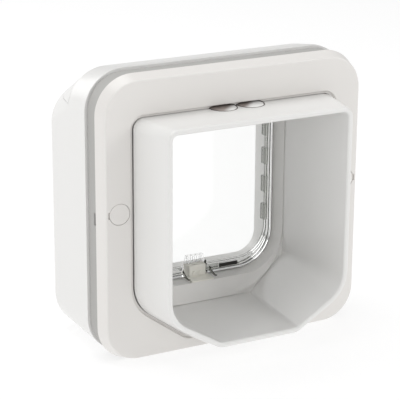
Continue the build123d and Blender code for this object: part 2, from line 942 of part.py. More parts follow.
# Housing shell: level behind the gasket, then falling gently, and steeply from the battery cover on
with BuildPart() as housing_shell:
    with BuildSketch(across(y_housing + housing_level)):
        add(housing_outline(0, 0))
    extrude(amount=housing_level)
    with BuildSketch(across(y_housing + housing_level)):
        add(housing_outline(0, 0))
    with BuildSketch(across(battery_cover_front)):
        add(housing_outline(0, housing_roof_drop))
    with BuildSketch(across(y_rear)):
        add(housing_outline(0, housing_drop))
    loft(ruled=True)
    fillet(housing_shell.faces().sort_by(Axis.Y)[-1].edges(), housing_edge_round)
    with BuildSketch(across(y_housing + housing_level)):
        add(housing_outline(housing_wall, 0))
    extrude(amount=housing_level, mode=Mode.SUBTRACT)
    with BuildSketch(across(y_housing + housing_level)):
        add(housing_outline(housing_wall, 0))
    with BuildSketch(across(battery_cover_front)):
        add(housing_outline(housing_wall, housing_roof_drop))
    with BuildSketch(across(y_face)):
        add(housing_outline(housing_wall, housing_drop))
    loft(ruled=True, mode=Mode.SUBTRACT)

# Housing cover: the shell with the collar round its opening, bosses and ribs inside
slider_slot_top = slider_level + slider_stem_height / 2 + slider_travel + slider_gap
slider_slot_bottom = slider_level - slider_stem_height / 2 - slider_gap
tongue_front = y_collar + slider_tongue_setback
tongue_back = tongue_front + slider_tongue_thickness
with BuildPart() as housing_cover:
    add(housing_shell.part)
    with BuildSketch(across(y_rear + housing_wall)):
        with Locations((0, battery_cover_level)):
            Rectangle(frame_width * 2, frame_height, align=(Align.CENTER, Align.MIN))
    extrude(amount=y_rear + housing_wall - battery_cover_front, mode=Mode.SUBTRACT)
    with BuildSketch(across(y_face)):
        add(arch(
            collar_half_width + collar_wall,
            opening_top + collar_wall,
            opening_bottom - collar_wall,
            opening_top_corner + collar_wall,
            collar_corner + collar_wall,
        ))
    extrude(amount=y_face - y_collar)
    with BuildSketch(across(y_face)):
        with Locations(*corner_places):
            Circle(cover_boss_radius)
    extrude(amount=y_face - y_plate_back)
    with BuildSketch(across(y_plate_back + roof_boss_length)):
        with Locations(*roof_places):
            Circle(cover_boss_radius)
    extrude(amount=roof_boss_length)
    with BuildSketch(across(y_face)):
        with Locations(*board_hole_places):
            Circle(board_boss_radius)
    extrude(amount=board_setback)
    well_width = (cell_radius + cell_gap + well_wall) * 2
    well_depth = cell_pitch + well_width
    with BuildSketch(across(y_face)):
        with Locations((-well_offset, well_level), (well_offset, well_level)):
            Rectangle(well_width, shelf_rib, align=(Align.CENTER, Align.MAX))
    extrude(amount=well_depth)
    with BuildSketch(across(y_rear)):
        add(arch(collar_half_width, opening_top, collar_bottom, opening_top_corner, collar_corner))
    extrude(amount=y_rear - y_collar, mode=Mode.SUBTRACT)
    with BuildSketch(across(y_flap)):
        add(arch(
            flap_half_width + sweep_gap,
            pivot_level,
            flap_bottom - sweep_gap,
            0,
            flap_corner + sweep_gap,
        ))
    revolve(axis=Axis((0, y_flap, pivot_level), (1, 0, 0)), revolution_arc=sweep_turn, mode=Mode.SUBTRACT)
    with BuildSketch(across(y_rear)):
        with Locations((0, slider_slot_bottom)):
            Rectangle(
                slider_stem_width + slider_gap * 2,
                slider_slot_top - slider_slot_bottom,
                align=(Align.CENTER, Align.MIN),
            )
        with Locations((board_offset, button_level)):
            Circle(button_radius + button_gap)
        with Locations((board_offset, light_level)):
            Circle(light_radius + light_gap)
    extrude(amount=housing_wall, mode=Mode.SUBTRACT)
    with BuildSketch(Plane.XY.offset(opening_bottom - collar_wall)):
        with Locations((0, (tongue_front + tongue_back) / 2)):
            Rectangle(slider_tongue_width + slider_gap * 2, slider_tongue_thickness + slider_gap * 2)
    extrude(amount=collar_wall * 2, mode=Mode.SUBTRACT)
    with BuildSketch(across(y_plate_back)):
        with Locations(*cover_places):
            Circle(screw_radius + screw_gap)
    extrude(amount=-screw_bite, mode=Mode.SUBTRACT)
    with BuildSketch(across(y_face - board_setback)):
        with Locations(*board_hole_places):
            Circle(screw_radius + screw_gap)
    extrude(amount=-board_setback + face_edge_round, mode=Mode.SUBTRACT)
finish(housing_cover, "housing_cover")

# Battery cover: the top of the shell over the battery wells, with tabs that reach inside
with BuildPart() as battery_cover:
    add(housing_shell.part)
    with BuildSketch(across(y_rear + housing_wall)):
        with Locations((0, battery_cover_level + battery_cover_gap)):
            Rectangle(frame_width * 2, frame_height, align=(Align.CENTER, Align.MIN))
    extrude(amount=y_rear + housing_wall - battery_cover_front - battery_cover_gap, mode=Mode.INTERSECT)
    with BuildSketch(Plane.XY.offset(battery_cover_level - battery_tab_drop)):
        with Locations(*[(side * battery_tab_offset, y_face - battery_cover_gap) for side in (-1, 1)]):
            Rectangle(battery_tab_width, battery_tab_thickness, align=(Align.CENTER, Align.MAX))
    extrude(amount=battery_tab_drop + battery_tab_rise)
finish(battery_cover, "battery_cover")

# Battery wells in the side margins, with two upright cells in each
well_y = y_face - well_depth / 2
cell_places = [
    (side * well_offset, well_y + step * cell_pitch / 2) for side in (-1, 1) for step in (-1, 1)
]
cell_bottom = well_level + well_floor + contact_thickness
with BuildPart() as battery_wells:
    with BuildSketch(Plane.XY.offset(well_level)):
        with Locations((-well_offset, well_y), (well_offset, well_y)):
            Rectangle(well_width, well_depth)
    extrude(amount=well_rise)
    with BuildSketch(Plane.XY.offset(well_level + well_floor)):
        with Locations(*cell_places):
            Circle(cell_radius + cell_gap)
    extrude(amount=well_rise, mode=Mode.SUBTRACT)
finish(battery_wells, "battery_wells")

with BuildPart() as battery_contacts:
    with BuildSketch(Plane.XY.offset(well_level + well_floor)):
        with Locations(*cell_places):
            Circle(contact_radius)
    extrude(amount=contact_thickness)
finish(battery_contacts, "battery_contacts")

with BuildPart() as batteries:
    with BuildSketch(Plane.XY.offset(cell_bottom)):
        with Locations(*cell_places):
            Circle(cell_radius)
    extrude(amount=cell_length)
    with BuildSketch(Plane.XY.offset(cell_bottom + cell_length)):
        with Locations(*cell_places):
            Circle(cell_nub_radius)
    extrude(amount=cell_nub_length)
finish(batteries, "batteries")

# Circuit board on its bosses, with its larger components
y_board = y_face - board_setback
with BuildPart() as circuit_board:
    with BuildSketch(across(y_board)):
        with Locations((board_offset, (board_bottom + board_top) / 2)):
            Rectangle(board_width, board_top - board_bottom)
        with Locations(*board_hole_places):
            Circle(screw_radius + screw_gap, mode=Mode.SUBTRACT)
    extrude(amount=board_thickness)
finish(circuit_board, "circuit_board")

button_back = y_face - button_slack - button_flange_thickness
with BuildPart() as board_components:
    with BuildSketch(across(y_board)):
        with Locations((board_offset, button_level)):
            Rectangle(switch_width, switch_width)
    extrude(amount=-(button_back - switch_gap - y_board))
    with BuildSketch(across(y_board)):
        with Locations((board_offset, chip_level)):
            Rectangle(chip_width, chip_height)
    extrude(amount=-chip_thickness)
    with BuildSketch(across(y_board - board_thickness)):
        with Locations((board_offset, header_level)):
            Rectangle(header_width, header_height)
    extrude(amount=header_thickness)
finish(board_components, "board_components")

# Learn button, held behind the indoor face by its flange
with BuildPart() as learn_button:
    with BuildSketch(across(y_rear + button_proud)):
        with Locations((board_offset, button_level)):
            Circle(button_radius)
    extrude(amount=y_rear + button_proud - button_back)
    fillet(learn_button.edges().sort_by(Axis.Y)[-1], button_edge_round)
    with BuildSketch(across(button_back + button_flange_thickness)):
        with Locations((board_offset, button_level)):
            Circle(button_radius + button_flange)
    extrude(amount=button_flange_thickness)
finish(learn_button, "learn_button")

# Light pipe from the board to the indoor face
with BuildPart() as status_light:
    with BuildSketch(across(y_rear + light_proud)):
        with Locations((board_offset, light_level)):
            Circle(light_radius)
    extrude(amount=y_rear + light_proud - y_board)
finish(status_light, "status_light")

# Hand lock: a thumb pad on the indoor face, a stem through the slot and a tongue under the flap's path
tongue_top = opening_bottom - slider_tongue_drop
slider_arm_top = opening_bottom - collar_wall - slider_travel - slider_gap * 2
slider_plate_back = y_face - slider_gap
slider_plate_front = slider_plate_back - slider_plate_thickness
with BuildPart() as lock_slider:
    with BuildSketch(across(y_rear + slider_pad_gap + slider_pad_thickness)):
        with Locations((0, slider_level)):
            RectangleRounded(slider_pad_width, slider_pad_height, slider_pad_corner)
    extrude(amount=slider_pad_thickness)
    fillet(lock_slider.faces().sort_by(Axis.Y)[-1].edges(), slider_pad_edge_round)
    with BuildSketch(across(y_rear + slider_pad_gap + slider_pad_thickness)):
        with Locations((0, slider_level)):
            with GridLocations(1, slider_grip_pitch, 1, slider_grip_count):
                Rectangle(slider_grip_length, slider_grip_width)
    extrude(amount=-slider_grip_proud)
    with BuildSketch(across(y_rear + slider_pad_gap)):
        with Locations((0, slider_level)):
            Rectangle(slider_stem_width, slider_stem_height)
    extrude(amount=y_rear + slider_pad_gap - slider_plate_front)
    with BuildSketch(across(slider_plate_back)):
        with Locations((0, slider_level - slider_stem_height / 2)):
            Rectangle(
                slider_tongue_width,
                slider_arm_top - slider_level + slider_stem_height / 2,
                align=(Align.CENTER, Align.MIN),
            )
    extrude(amount=slider_plate_thickness)
    with BuildSketch(across(slider_plate_back)):
        with Locations((0, slider_arm_top)):
            Rectangle(slider_tongue_width, slider_plate_thickness, align=(Align.CENTER, Align.MAX))
    extrude(amount=slider_plate_back - tongue_front)
    with BuildSketch(across(tongue_back)):
        with Locations((0, tongue_top)):
            Rectangle(slider_tongue_width, tongue_top - slider_arm_top, align=(Align.CENTER, Align.MAX))
    extrude(amount=slider_tongue_thickness)
finish(lock_slider, "lock_slider")

# Antenna coil, wound round the tunnel behind its flange
coil_front = y_plate_back + tunnel_flange + screw_head_height + coil_screw_gap
with BuildPart() as antenna_coil:
    with BuildSketch(across(coil_front + coil_depth)):
        add(hood_base.inset(-coil_gap - coil_thickness).face())
        add(hood_base.inset(-coil_gap).face(), mode=Mode.SUBTRACT)
    extrude(amount=coil_depth)
finish(antenna_coil, "antenna_coil")


def screws(places: list, seat: float, shank: float, radius: float, head_radius: float, head: float) -> Part:
    """Slotted screws along Y, with their heads on the seat and their shanks pointing away from it."""
    heading = 1 if shank > 0 else -1
    with BuildPart() as group:
        with BuildSketch(across(seat)):
            with Locations(*places):
                Circle(head_radius)
        extrude(amount=heading * head)
        with BuildSketch(across(seat)):
            with Locations(*places):
                Circle(radius)
        extrude(amount=-shank)
        with BuildSketch(across(seat - heading * head)):
            with Locations(*places):
                Rectangle(head_radius * 2, drive_slot_width)
        extrude(amount=-heading * drive_slot_depth, mode=Mode.SUBTRACT)
    return group.part


# Fasteners, one group for each kind
fixing_seat = y_front + cap_thickness + fixing_head_height
with BuildPart() as fixing_screws:
    add(screws(
        fixing_places,
        fixing_seat,
        y_plate_back + fixing_boss_length - fixing_seat,
        fixing_radius,
        fixing_head_radius,
        fixing_head_height - screw_gap,
    ))
finish(fixing_screws, "fixing_screws")

with BuildPart() as tunnel_screws:
    add(screws(
        tunnel_places,
        y_plate_back + tunnel_flange,
        -tunnel_flange - plate_thickness,
        screw_radius,
        screw_head_radius,
        screw_head_height,
    ))
finish(tunnel_screws, "tunnel_screws")

with BuildPart() as frame_screws:
    add(screws(
        post_places,
        y_flange_back,
        -flange_thickness - screw_bite + screw_gap,
        screw_radius,
        screw_head_radius,
        screw_head_height,
    ))
finish(frame_screws, "frame_screws")

with BuildPart() as cover_screws:
    add(screws(
        cover_places,
        y_plate + screw_head_height,
        plate_thickness - screw_head_height + screw_bite - screw_gap,
        screw_radius,
        screw_head_radius,
        screw_head_height - screw_gap,
    ))
finish(cover_screws, "cover_screws")

with BuildPart() as board_screws:
    add(screws(
        board_hole_places,
        y_board - board_thickness,
        board_thickness + board_setback - face_edge_round - screw_gap,
        screw_radius,
        screw_head_radius,
        screw_head_height,
    ))
finish(board_screws, "board_screws")
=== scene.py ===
"""Looks of a cat flap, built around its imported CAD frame. Sizes are in millimetres, meshes in metres."""

import json
import logging
import math
from dataclasses import dataclass, field
from enum import Enum

import bmesh
import bpy
from mathutils import Matrix, Vector

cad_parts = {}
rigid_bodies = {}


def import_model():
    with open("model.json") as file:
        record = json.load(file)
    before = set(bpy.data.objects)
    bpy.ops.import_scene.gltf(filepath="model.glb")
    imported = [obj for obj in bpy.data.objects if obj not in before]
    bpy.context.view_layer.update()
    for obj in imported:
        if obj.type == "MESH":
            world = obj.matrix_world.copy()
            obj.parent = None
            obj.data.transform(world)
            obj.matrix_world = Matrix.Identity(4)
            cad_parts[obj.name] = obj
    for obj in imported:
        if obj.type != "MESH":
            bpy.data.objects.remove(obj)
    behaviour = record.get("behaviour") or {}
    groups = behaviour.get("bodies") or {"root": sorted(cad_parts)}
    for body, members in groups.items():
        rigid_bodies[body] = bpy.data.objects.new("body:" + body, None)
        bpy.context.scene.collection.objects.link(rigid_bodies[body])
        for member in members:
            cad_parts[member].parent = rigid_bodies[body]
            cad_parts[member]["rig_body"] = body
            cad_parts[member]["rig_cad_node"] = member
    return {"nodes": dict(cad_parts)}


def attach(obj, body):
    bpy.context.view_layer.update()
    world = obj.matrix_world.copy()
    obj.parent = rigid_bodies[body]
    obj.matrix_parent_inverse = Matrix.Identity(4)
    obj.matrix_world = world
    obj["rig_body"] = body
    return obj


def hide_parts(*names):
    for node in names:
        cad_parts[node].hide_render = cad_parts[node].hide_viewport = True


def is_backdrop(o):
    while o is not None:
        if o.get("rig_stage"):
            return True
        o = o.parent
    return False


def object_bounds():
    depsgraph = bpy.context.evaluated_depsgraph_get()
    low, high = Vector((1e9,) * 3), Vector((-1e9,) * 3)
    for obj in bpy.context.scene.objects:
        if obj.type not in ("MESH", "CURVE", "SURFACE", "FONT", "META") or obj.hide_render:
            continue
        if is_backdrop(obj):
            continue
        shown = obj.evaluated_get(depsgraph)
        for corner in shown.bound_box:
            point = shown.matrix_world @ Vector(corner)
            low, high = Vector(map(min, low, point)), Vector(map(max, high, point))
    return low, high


LOG = logging.getLogger("cat_flap")
Piece = bpy.types.Object
Mesh = bpy.types.Mesh
Material = bpy.types.Material
Node = bpy.types.Node
Socket = bpy.types.NodeSocket
Point = tuple[float, float]
Place = tuple[float, float, float]
Colour = tuple[float, float, float]
MM = 0.001
SIDES = (-1, 1)

# Steps of rounded corners, of circles, of turned pieces and of the rounding on edges
CORNER_STEPS = 12
CIRCLE_STEPS = 48
TURNED_STEPS = 64
BEVEL_STEPS = 2

# Edges that turn more than this, in degrees, stay sharp: on most pieces, on turned ones and on wire
SHARP = 32.0
TURNED_SHARP = 40.0
WIRE_SHARP = 70.0

# Metres within which points are one, and degrees within which CAD triangles are one face
SAME_POINT = 1e-7
CAD_MERGE = 2e-6
FLAT_TURN = 0.4

# Places that several pieces share
ROOF = 75.0
PLATE_DEPTH = 10.2
WINDOW_OFFSET = 10.9
WINDOW_RADIUS = 9.3
CAP_PLACE = (91.4, 8.4)


# Outlines and skins


@dataclass(frozen=True)
class Corner:
    """A corner of a closed outline, in X and Z, with its rounding."""

    x: float
    z: float
    radius: float


def outline(corners: list[Corner]) -> list[Point]:
    """Points of a closed outline with its corners rounded, as many points at each corner."""
    points: list[Point] = []
    count = len(corners)
    for index, corner in enumerate(corners):
        here = Vector((corner.x, corner.z))
        before = corners[index - 1]
        after = corners[(index + 1) % count]
        back = (Vector((before.x, before.z)) - here).normalized()
        ahead = (Vector((after.x, after.z)) - here).normalized()
        half = math.acos(max(-1.0, min(1.0, back.dot(ahead)))) / 2
        reach = corner.radius / math.tan(half)
        middle = here + (back + ahead).normalized() * corner.radius / math.sin(half)
        start = here + back * reach - middle
        turn = math.pi - 2 * half
        side = 1.0 if back.x * ahead.y - back.y * ahead.x < 0 else -1.0
        for step in range(CORNER_STEPS + 1):
            angle = side * turn * step / CORNER_STEPS
            cos, sin = math.cos(angle), math.sin(angle)
            points.append((
                middle.x + start.x * cos - start.y * sin,
                middle.y + start.x * sin + start.y * cos,
            ))
    return points


def circle(x: float, z: float, radius: float) -> list[Point]:
    """Points of a circle about X and Z, clockwise as the outlines run."""
    turns = [-2 * math.pi * step / CIRCLE_STEPS for step in range(CIRCLE_STEPS)]
    return [(x + radius * math.cos(turn), z + radius * math.sin(turn)) for turn in turns]


def quarter(radius: float, steps: int) -> list[Point]:
    """A quarter round as (depth, inset) steps, from a full inset on the face to a full depth on the side."""
    turns = [math.pi / 2 * step / steps for step in range(steps + 1)]
    return [(radius * (1 - math.cos(turn)), radius * (1 - math.sin(turn))) for turn in turns]


class Skin:
    """A closed mesh that is put together from rings of points."""

    def __init__(self) -> None:
        """Start with nothing."""
        self.bm = bmesh.new()

    def ring(self, points: list[Point], depth: float) -> list[bmesh.types.BMVert]:
        """Add a ring of points in X and Z at a depth along Y."""
        return [self.bm.verts.new((x * MM, depth * MM, z * MM)) for x, z in points]

    def bridge(self, *rings: list[bmesh.types.BMVert]) -> None:
        """Join rings of equal count, each to the next."""
        for first, second in zip(rings, rings[1:]):
            count = len(first)
            for index in range(count):
                after = (index + 1) % count
                self.bm.faces.new((first[index], first[after], second[after], second[index]))

    def fill(self, *rings: list[bmesh.types.BMVert]) -> None:
        """Fill a flat face inside the first ring and outside the others."""
        edges = []
        for ring in rings:
            for first, second in zip(ring, ring[1:] + ring[:1]):
                edges.append(self.bm.edges.get((first, second)) or self.bm.edges.new((first, second)))
        bmesh.ops.triangle_fill(self.bm, edges=edges, use_beauty=True, use_dissolve=False)

    def closed(self, *rings: list[bmesh.types.BMVert]) -> None:
        """Join rings, each to the next, and fill the first and the last."""
        self.bridge(*rings)
        self.fill(rings[0])
        self.fill(rings[-1])

    def build(self, name: str, material: Material, sharp: float = SHARP) -> Piece:
        """Make the object, sharp only at edges that turn more than some degrees."""
        bmesh.ops.remove_doubles(self.bm, verts=self.bm.verts, dist=SAME_POINT)
        bmesh.ops.recalc_face_normals(self.bm, faces=self.bm.faces)
        mesh = bpy.data.meshes.new(name)
        self.bm.to_mesh(mesh)
        self.bm.free()
        return shown(name, mesh, material, sharp)


def added(name: str, data: bpy.types.ID) -> Piece:
    """A new object in the scene that holds a mesh, a light or a camera."""
    made = bpy.data.objects.new(name, data)
    bpy.context.scene.collection.objects.link(made)
    return made


def settled(piece: Piece) -> Mesh:
    """A plain mesh of an object as its modifiers leave it."""
    evaluated = piece.evaluated_get(bpy.context.evaluated_depsgraph_get())
    return bpy.data.meshes.new_from_object(evaluated)


def shown(name: str, mesh: Mesh, material: Material, sharp: float) -> Piece:
    """Put a mesh in the scene with its material, sharp only at edges that turn more than some degrees."""
    mesh.materials.clear()
    mesh.materials.append(material)
    mesh.shade_smooth()
    mesh.set_sharp_from_angle(angle=math.radians(sharp))
    return added(name, mesh)


def even_shading(piece: Piece) -> None:
    """Keep a piece's flat faces flat in the shading."""
    weighted = piece.modifiers.new("even_shading", "WEIGHTED_NORMAL")
    weighted.mode = "FACE_AREA"
    weighted.keep_sharp = True


def carve(piece: Piece, cutter: Piece) -> None:
    """Cut one mesh out of another for good, and remove the cutter."""
    cut = piece.modifiers.new("carve", "BOOLEAN")
    cut.operation = "DIFFERENCE"
    cut.solver = "EXACT"
    cut.object = cutter
    mesh = settled(piece)
    piece.modifiers.clear()
    piece.data = mesh
    bpy.data.objects.remove(cutter)


def fitted(piece: Piece, node: str) -> Piece:
    """Put a piece on the housing, in place of a CAD node."""
    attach(piece, "housing")
    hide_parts(node)
    return piece


def softened(node: Piece, name: str, material: Material, slot: str,
             edge_round: float = 0.0, joined: bool = True) -> Piece:
    """A merged copy of a CAD node with rounded edges, which stands for it.

    Args:
        node: The CAD node's object.
        name: The piece's name.
        material: Its material.
        slot: Its finish slot; not used.
        edge_round: Width of the rounding on its edges, or 0 for none.
        joined: Whether flat triangles are joined into one face.

    Returns:
        The object, which rides on the node's body.
    """
    bm = bmesh.new()
    for vertex in node.data.vertices:
        bm.verts.new(vertex.co)
    bm.verts.ensure_lookup_table()
    for polygon in node.data.polygons:
        bm.faces.new([bm.verts[index] for index in polygon.vertices])
    bmesh.ops.remove_doubles(bm, verts=bm.verts, dist=CAD_MERGE)
    bmesh.ops.dissolve_degenerate(bm, edges=bm.edges, dist=SAME_POINT)
    if joined:
        flat = math.radians(FLAT_TURN)
        bmesh.ops.dissolve_limit(bm, angle_limit=flat, verts=bm.verts, edges=bm.edges)
    mesh = bpy.data.meshes.new(name)
    bm.to_mesh(mesh)
    bm.free()
    piece = shown(name, mesh, material, SHARP)
    if edge_round:
        bevel = piece.modifiers.new("edge_round", "BEVEL")
        bevel.width = edge_round * MM
        bevel.segments = BEVEL_STEPS
        bevel.limit_method = "ANGLE"
        bevel.angle_limit = math.radians(SHARP)
        bevel.use_clamp_overlap = False
        bevel.harden_normals = True
    else:
        even_shading(piece)
    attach(piece, node["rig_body"])
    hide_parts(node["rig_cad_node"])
    return piece


# Finishes


class Graph:
    """A node tree that is being wired."""

    def __init__(self, tree: bpy.types.NodeTree) -> None:
        """Start with the tree empty."""
        self.tree = tree
        tree.nodes.clear()

    def node(self, kind: str, inputs: dict | None = None, **settings: object) -> Node:
        """Add a node.

        Args:
            kind: Its type.
            inputs: Input names to a value or to the socket that feeds them.
            settings: The node's own properties.

        Returns:
            The node.
        """
        made = self.tree.nodes.new(kind)
        for key, value in settings.items():
            setattr(made, key, value)
        for key, value in (inputs or {}).items():
            socket = made.inputs[key]
            if isinstance(value, Socket):
                self.tree.links.new(value, socket)
            else:
                socket.default_value = value
        return made

    def maths(self, operation: str, *values: object) -> Socket:
        """The result of a sum on values, each a number or a socket."""
        return self.node("ShaderNodeMath", dict(enumerate(values)), operation=operation).outputs[0]

    def mixed(self, share: Socket, low: Colour, high: Colour) -> Socket:
        """A colour from the low one, where the share is 0, to the high one, where it is 1."""
        ends = {0: share, 6: (*low, 1.0), 7: (*high, 1.0)}
        return self.node("ShaderNodeMix", ends, data_type="RGBA").outputs[2]

    def grain(self, **values: float) -> Node:
        """The shared effect of a moulded surface, with its named values set."""
        return self.node("ShaderNodeGroup", values, node_tree=moulded_grain())

    def bump(self, grain: Node, strength: float, depth: float) -> Socket:
        """The normal of a grained surface, by the grain's node, its strength and its depth."""
        return self.node("ShaderNodeBump", {
            "Height": grain.outputs["Height"],
            "Strength": strength,
            "Distance": depth * MM,
        }).outputs["Normal"]


def moulded_grain() -> bpy.types.NodeTree:
    """The effect that moulded surfaces share, built once: fine grain, uneven gloss, faint tone changes."""
    name = "moulded_grain"
    found = bpy.data.node_groups.get(name)
    if found:
        return found
    tree = bpy.data.node_groups.new(name, "ShaderNodeTree")
    graph = Graph(tree)
    number = "NodeSocketFloat"
    for label, value in (("Grain", 900.0), ("Patches", 22.0), ("Roughness", 0.3), ("Spread", 0.06)):
        tree.interface.new_socket(label, in_out="INPUT", socket_type=number).default_value = value
    for label in ("Tone", "Roughness", "Height"):
        tree.interface.new_socket(label, in_out="OUTPUT", socket_type=number)
    values = graph.node("NodeGroupInput").outputs
    place = graph.node("ShaderNodeTexCoord").outputs["Object"]
    fine = graph.node("ShaderNodeTexNoise", {"Vector": place, "Scale": values["Grain"], "Detail": 2.0})
    patches = graph.node("ShaderNodeTexNoise", {"Vector": place, "Scale": values["Patches"], "Detail": 0.0})
    gloss = graph.node("ShaderNodeMapRange", {
        "Value": patches.outputs["Fac"],
        "To Min": graph.maths("SUBTRACT", values["Roughness"], values["Spread"]),
        "To Max": graph.maths("ADD", values["Roughness"], values["Spread"]),
    })
    graph.node("NodeGroupOutput", {
        "Tone": patches.outputs["Fac"],
        "Roughness": gloss.outputs["Result"],
        "Height": fine.outputs["Fac"],
    })
    return tree


@dataclass(frozen=True)
class Surface:
    """What all finishes share: a name, and a material that is built once."""

    name: str

    def shader(self, graph: Graph) -> Node:
        """Wire the shader of this kind of finish."""
        raise NotImplementedError

    def material(self) -> Material:
        """The material, built once."""
        found = bpy.data.materials.get(self.name)
        if found:
            return found
        made = bpy.data.materials.new(self.name)
        made.use_nodes = True
        graph = Graph(made.node_tree)
        shader = self.shader(graph)
        graph.node("ShaderNodeOutputMaterial", {"Surface": shader.outputs["BSDF"]})
        return made


@dataclass(frozen=True)
class Moulded(Surface):
    """Opaque moulded plastic, rubber or coated metal."""

    colour: Colour
    shade: Colour
    roughness: float
    spread: float = 0.05
    grain: float = 900.0
    patches: float = 22.0
    bump: float = 0.04
    depth: float = 0.004
    metallic: float = 0.0
    soft_light: float = 0.0
    soft_reach: Place = (0.004, 0.0038, 0.0034)
    coat: float = 0.0
    coat_roughness: float = 0.12
    glow: float = 0.0

    def shader(self, graph: Graph) -> Node:
        """Wire the opaque shader."""
        grain = graph.grain(
            Grain=self.grain, Patches=self.patches, Roughness=self.roughness, Spread=self.spread
        )
        return graph.node("ShaderNodeBsdfPrincipled", {
            "Base Color": graph.mixed(grain.outputs["Tone"], self.shade, self.colour),
            "Roughness": grain.outputs["Roughness"],
            "Metallic": self.metallic,
            "Coat Weight": self.coat,
            "Coat Roughness": self.coat_roughness,
            "Subsurface Weight": self.soft_light,
            "Subsurface Radius": self.soft_reach,
            "Subsurface Scale": 1.0,
            "Emission Color": (1.0, 1.0, 1.0, 1.0),
            "Emission Strength": self.glow,
            "Normal": graph.bump(grain, self.bump, self.depth),
        })


@dataclass(frozen=True)
class Clear(Surface):
    """Clear moulded plastic."""

    colour: Colour
    roughness: float
    spread: float = 0.015
    ior: float = 1.5
    grain: float = 250.0
    bump: float = 0.1
    depth: float = 0.004

    def shader(self, graph: Graph) -> Node:
        """Wire the clear shader."""
        grain = graph.grain(Grain=self.grain, Roughness=self.roughness, Spread=self.spread)
        return graph.node("ShaderNodeBsdfPrincipled", {
            "Base Color": (*self.colour, 1.0),
            "Roughness": grain.outputs["Roughness"],
            "IOR": self.ior,
            "Transmission Weight": 1.0,
            "Normal": graph.bump(grain, self.bump, self.depth),
        })


@dataclass(frozen=True)
class Window(Surface):
    """Smoked glass, dark on one side, with a painted highlight on the other: a pale crescent of painted light
    where the window's recess would catch the light.

    The crescent's lean, start and end are shares of a window's radius.
    """

    dark: Colour
    # The pale colour of the painted highlight crescent
    painted_highlight: Colour
    roughness: float
    spread: float = 0.02
    coat: float = 0.4
    lean: float = 0.35
    start: float = 1.0
    end: float = 1.9

    def shader(self, graph: Graph) -> Node:
        """Wire the shader, with the painted highlight's crescent placed by how far across and forward a point
        is.
        """
        grain = graph.grain(Roughness=self.roughness, Spread=self.spread)
        place = graph.node("ShaderNodeTexCoord").outputs["Object"]
        parts = graph.node("ShaderNodeSeparateXYZ", {"Vector": place}).outputs
        radius = WINDOW_RADIUS * MM
        side = graph.maths("SIGN", parts["X"])
        middle = graph.maths("MULTIPLY", side, WINDOW_OFFSET * MM)
        across = graph.maths("SUBTRACT", parts["X"], middle)
        # Painted highlight: the crescent lies where a point is further to +X and further forward, on the lit
        # side
        lit = graph.maths("SUBTRACT", across, parts["Y"])
        share = graph.node("ShaderNodeMapRange", {
            "Value": graph.maths("MULTIPLY_ADD", side, self.lean * radius, lit),
            "From Min": self.start * radius,
            "From Max": self.end * radius,
        }, interpolation_type="SMOOTHSTEP")
        return graph.node("ShaderNodeBsdfPrincipled", {
            "Base Color": graph.mixed(share.outputs["Result"], self.dark, self.painted_highlight),
            "Roughness": grain.outputs["Roughness"],
            "Coat Weight": self.coat,
        })


class Finish(Enum):
    """The finishes of the object's pieces and of the floor."""

    WHITE = Moulded(
        "gloss_white", (0.795, 0.79, 0.775), (0.788, 0.783, 0.768), 0.3, 0.03, patches=12.0, coat=0.15
    )
    WARM = Moulded(
        "gloss_warm_white", (0.785, 0.765, 0.74), (0.778, 0.758, 0.733), 0.3, 0.03, patches=12.0, coat=0.15
    )
    INNER = Moulded("satin_white", (0.835, 0.825, 0.805), (0.828, 0.818, 0.798), 0.42, 0.03, patches=12.0)
    SEAL = Moulded(
        "soft_grey_rubber", (0.43, 0.425, 0.41), (0.41, 0.405, 0.39), 0.62, grain=1600.0, depth=0.01
    )
    RIM = Moulded(
        "soft_dark_rubber", (0.1, 0.08, 0.075), (0.08, 0.065, 0.06), 0.5, grain=1600.0, depth=0.01
    )
    LATCH = Moulded("cream_latch", (0.9, 0.885, 0.82), (0.87, 0.855, 0.79), 0.3)
    MAGNET = Moulded("dull_magnet", (0.045, 0.042, 0.04), (0.03, 0.028, 0.027), 0.55, metallic=0.4)
    STEEL = Moulded("plain_steel", (0.62, 0.61, 0.6), (0.55, 0.54, 0.53), 0.3, metallic=1.0, patches=120.0)
    COPPER = Moulded(
        "enamelled_copper", (0.58, 0.24, 0.1), (0.5, 0.19, 0.08), 0.3, metallic=1.0, patches=160.0
    )
    BOARD = Moulded("board_green", (0.02, 0.14, 0.06), (0.015, 0.11, 0.05), 0.4, patches=140.0)
    PARTS = Moulded("black_moulding", (0.03, 0.03, 0.03), (0.02, 0.02, 0.02), 0.45)
    CELL = Moulded("shiny_sleeve", (0.1, 0.11, 0.13), (0.08, 0.09, 0.11), 0.3, metallic=0.5)
    PLATED = Moulded("plated_contact", (0.7, 0.68, 0.6), (0.62, 0.6, 0.53), 0.25, metallic=1.0, patches=160.0)
    LIGHT = Moulded("red_light_tip", (0.6, 0.06, 0.04), (0.52, 0.05, 0.035), 0.2, soft_light=0.4)
    BUTTON = Moulded("satin_button", (0.32, 0.325, 0.33), (0.29, 0.295, 0.3), 0.45)
    CLEAR = Clear("clear_flap", (0.97, 0.975, 0.97), 0.03)
    # Painted shade: a grey tint for the flap's rim, tabs and foot, standing in for dark refraction through
    # the clear plastic
    CLEAR_EDGE_SHADE = Clear("clear_flap_edge_painted_shade", (0.42, 0.43, 0.405), 0.06)
    # Painted shade: a dark grey tint for the foot hooks, which stand in for the shadow and reflection of the
    # rim's ends on the sill
    CLEAR_HOOK_SHADE = Clear("clear_flap_hook_painted_shade", (0.3, 0.3, 0.28), 0.06)
    SMOKED = Window("smoked_window", (0.3, 0.255, 0.235), (0.88, 0.88, 0.87), 0.08)
    FLOOR = Moulded("pale_floor", (0.3, 0.3, 0.3), (0.295, 0.295, 0.295), 0.9, patches=3.0, glow=0.72)

    def material(self) -> Material:
        """The finish's material."""
        return self.value.material()


# Repeated parts


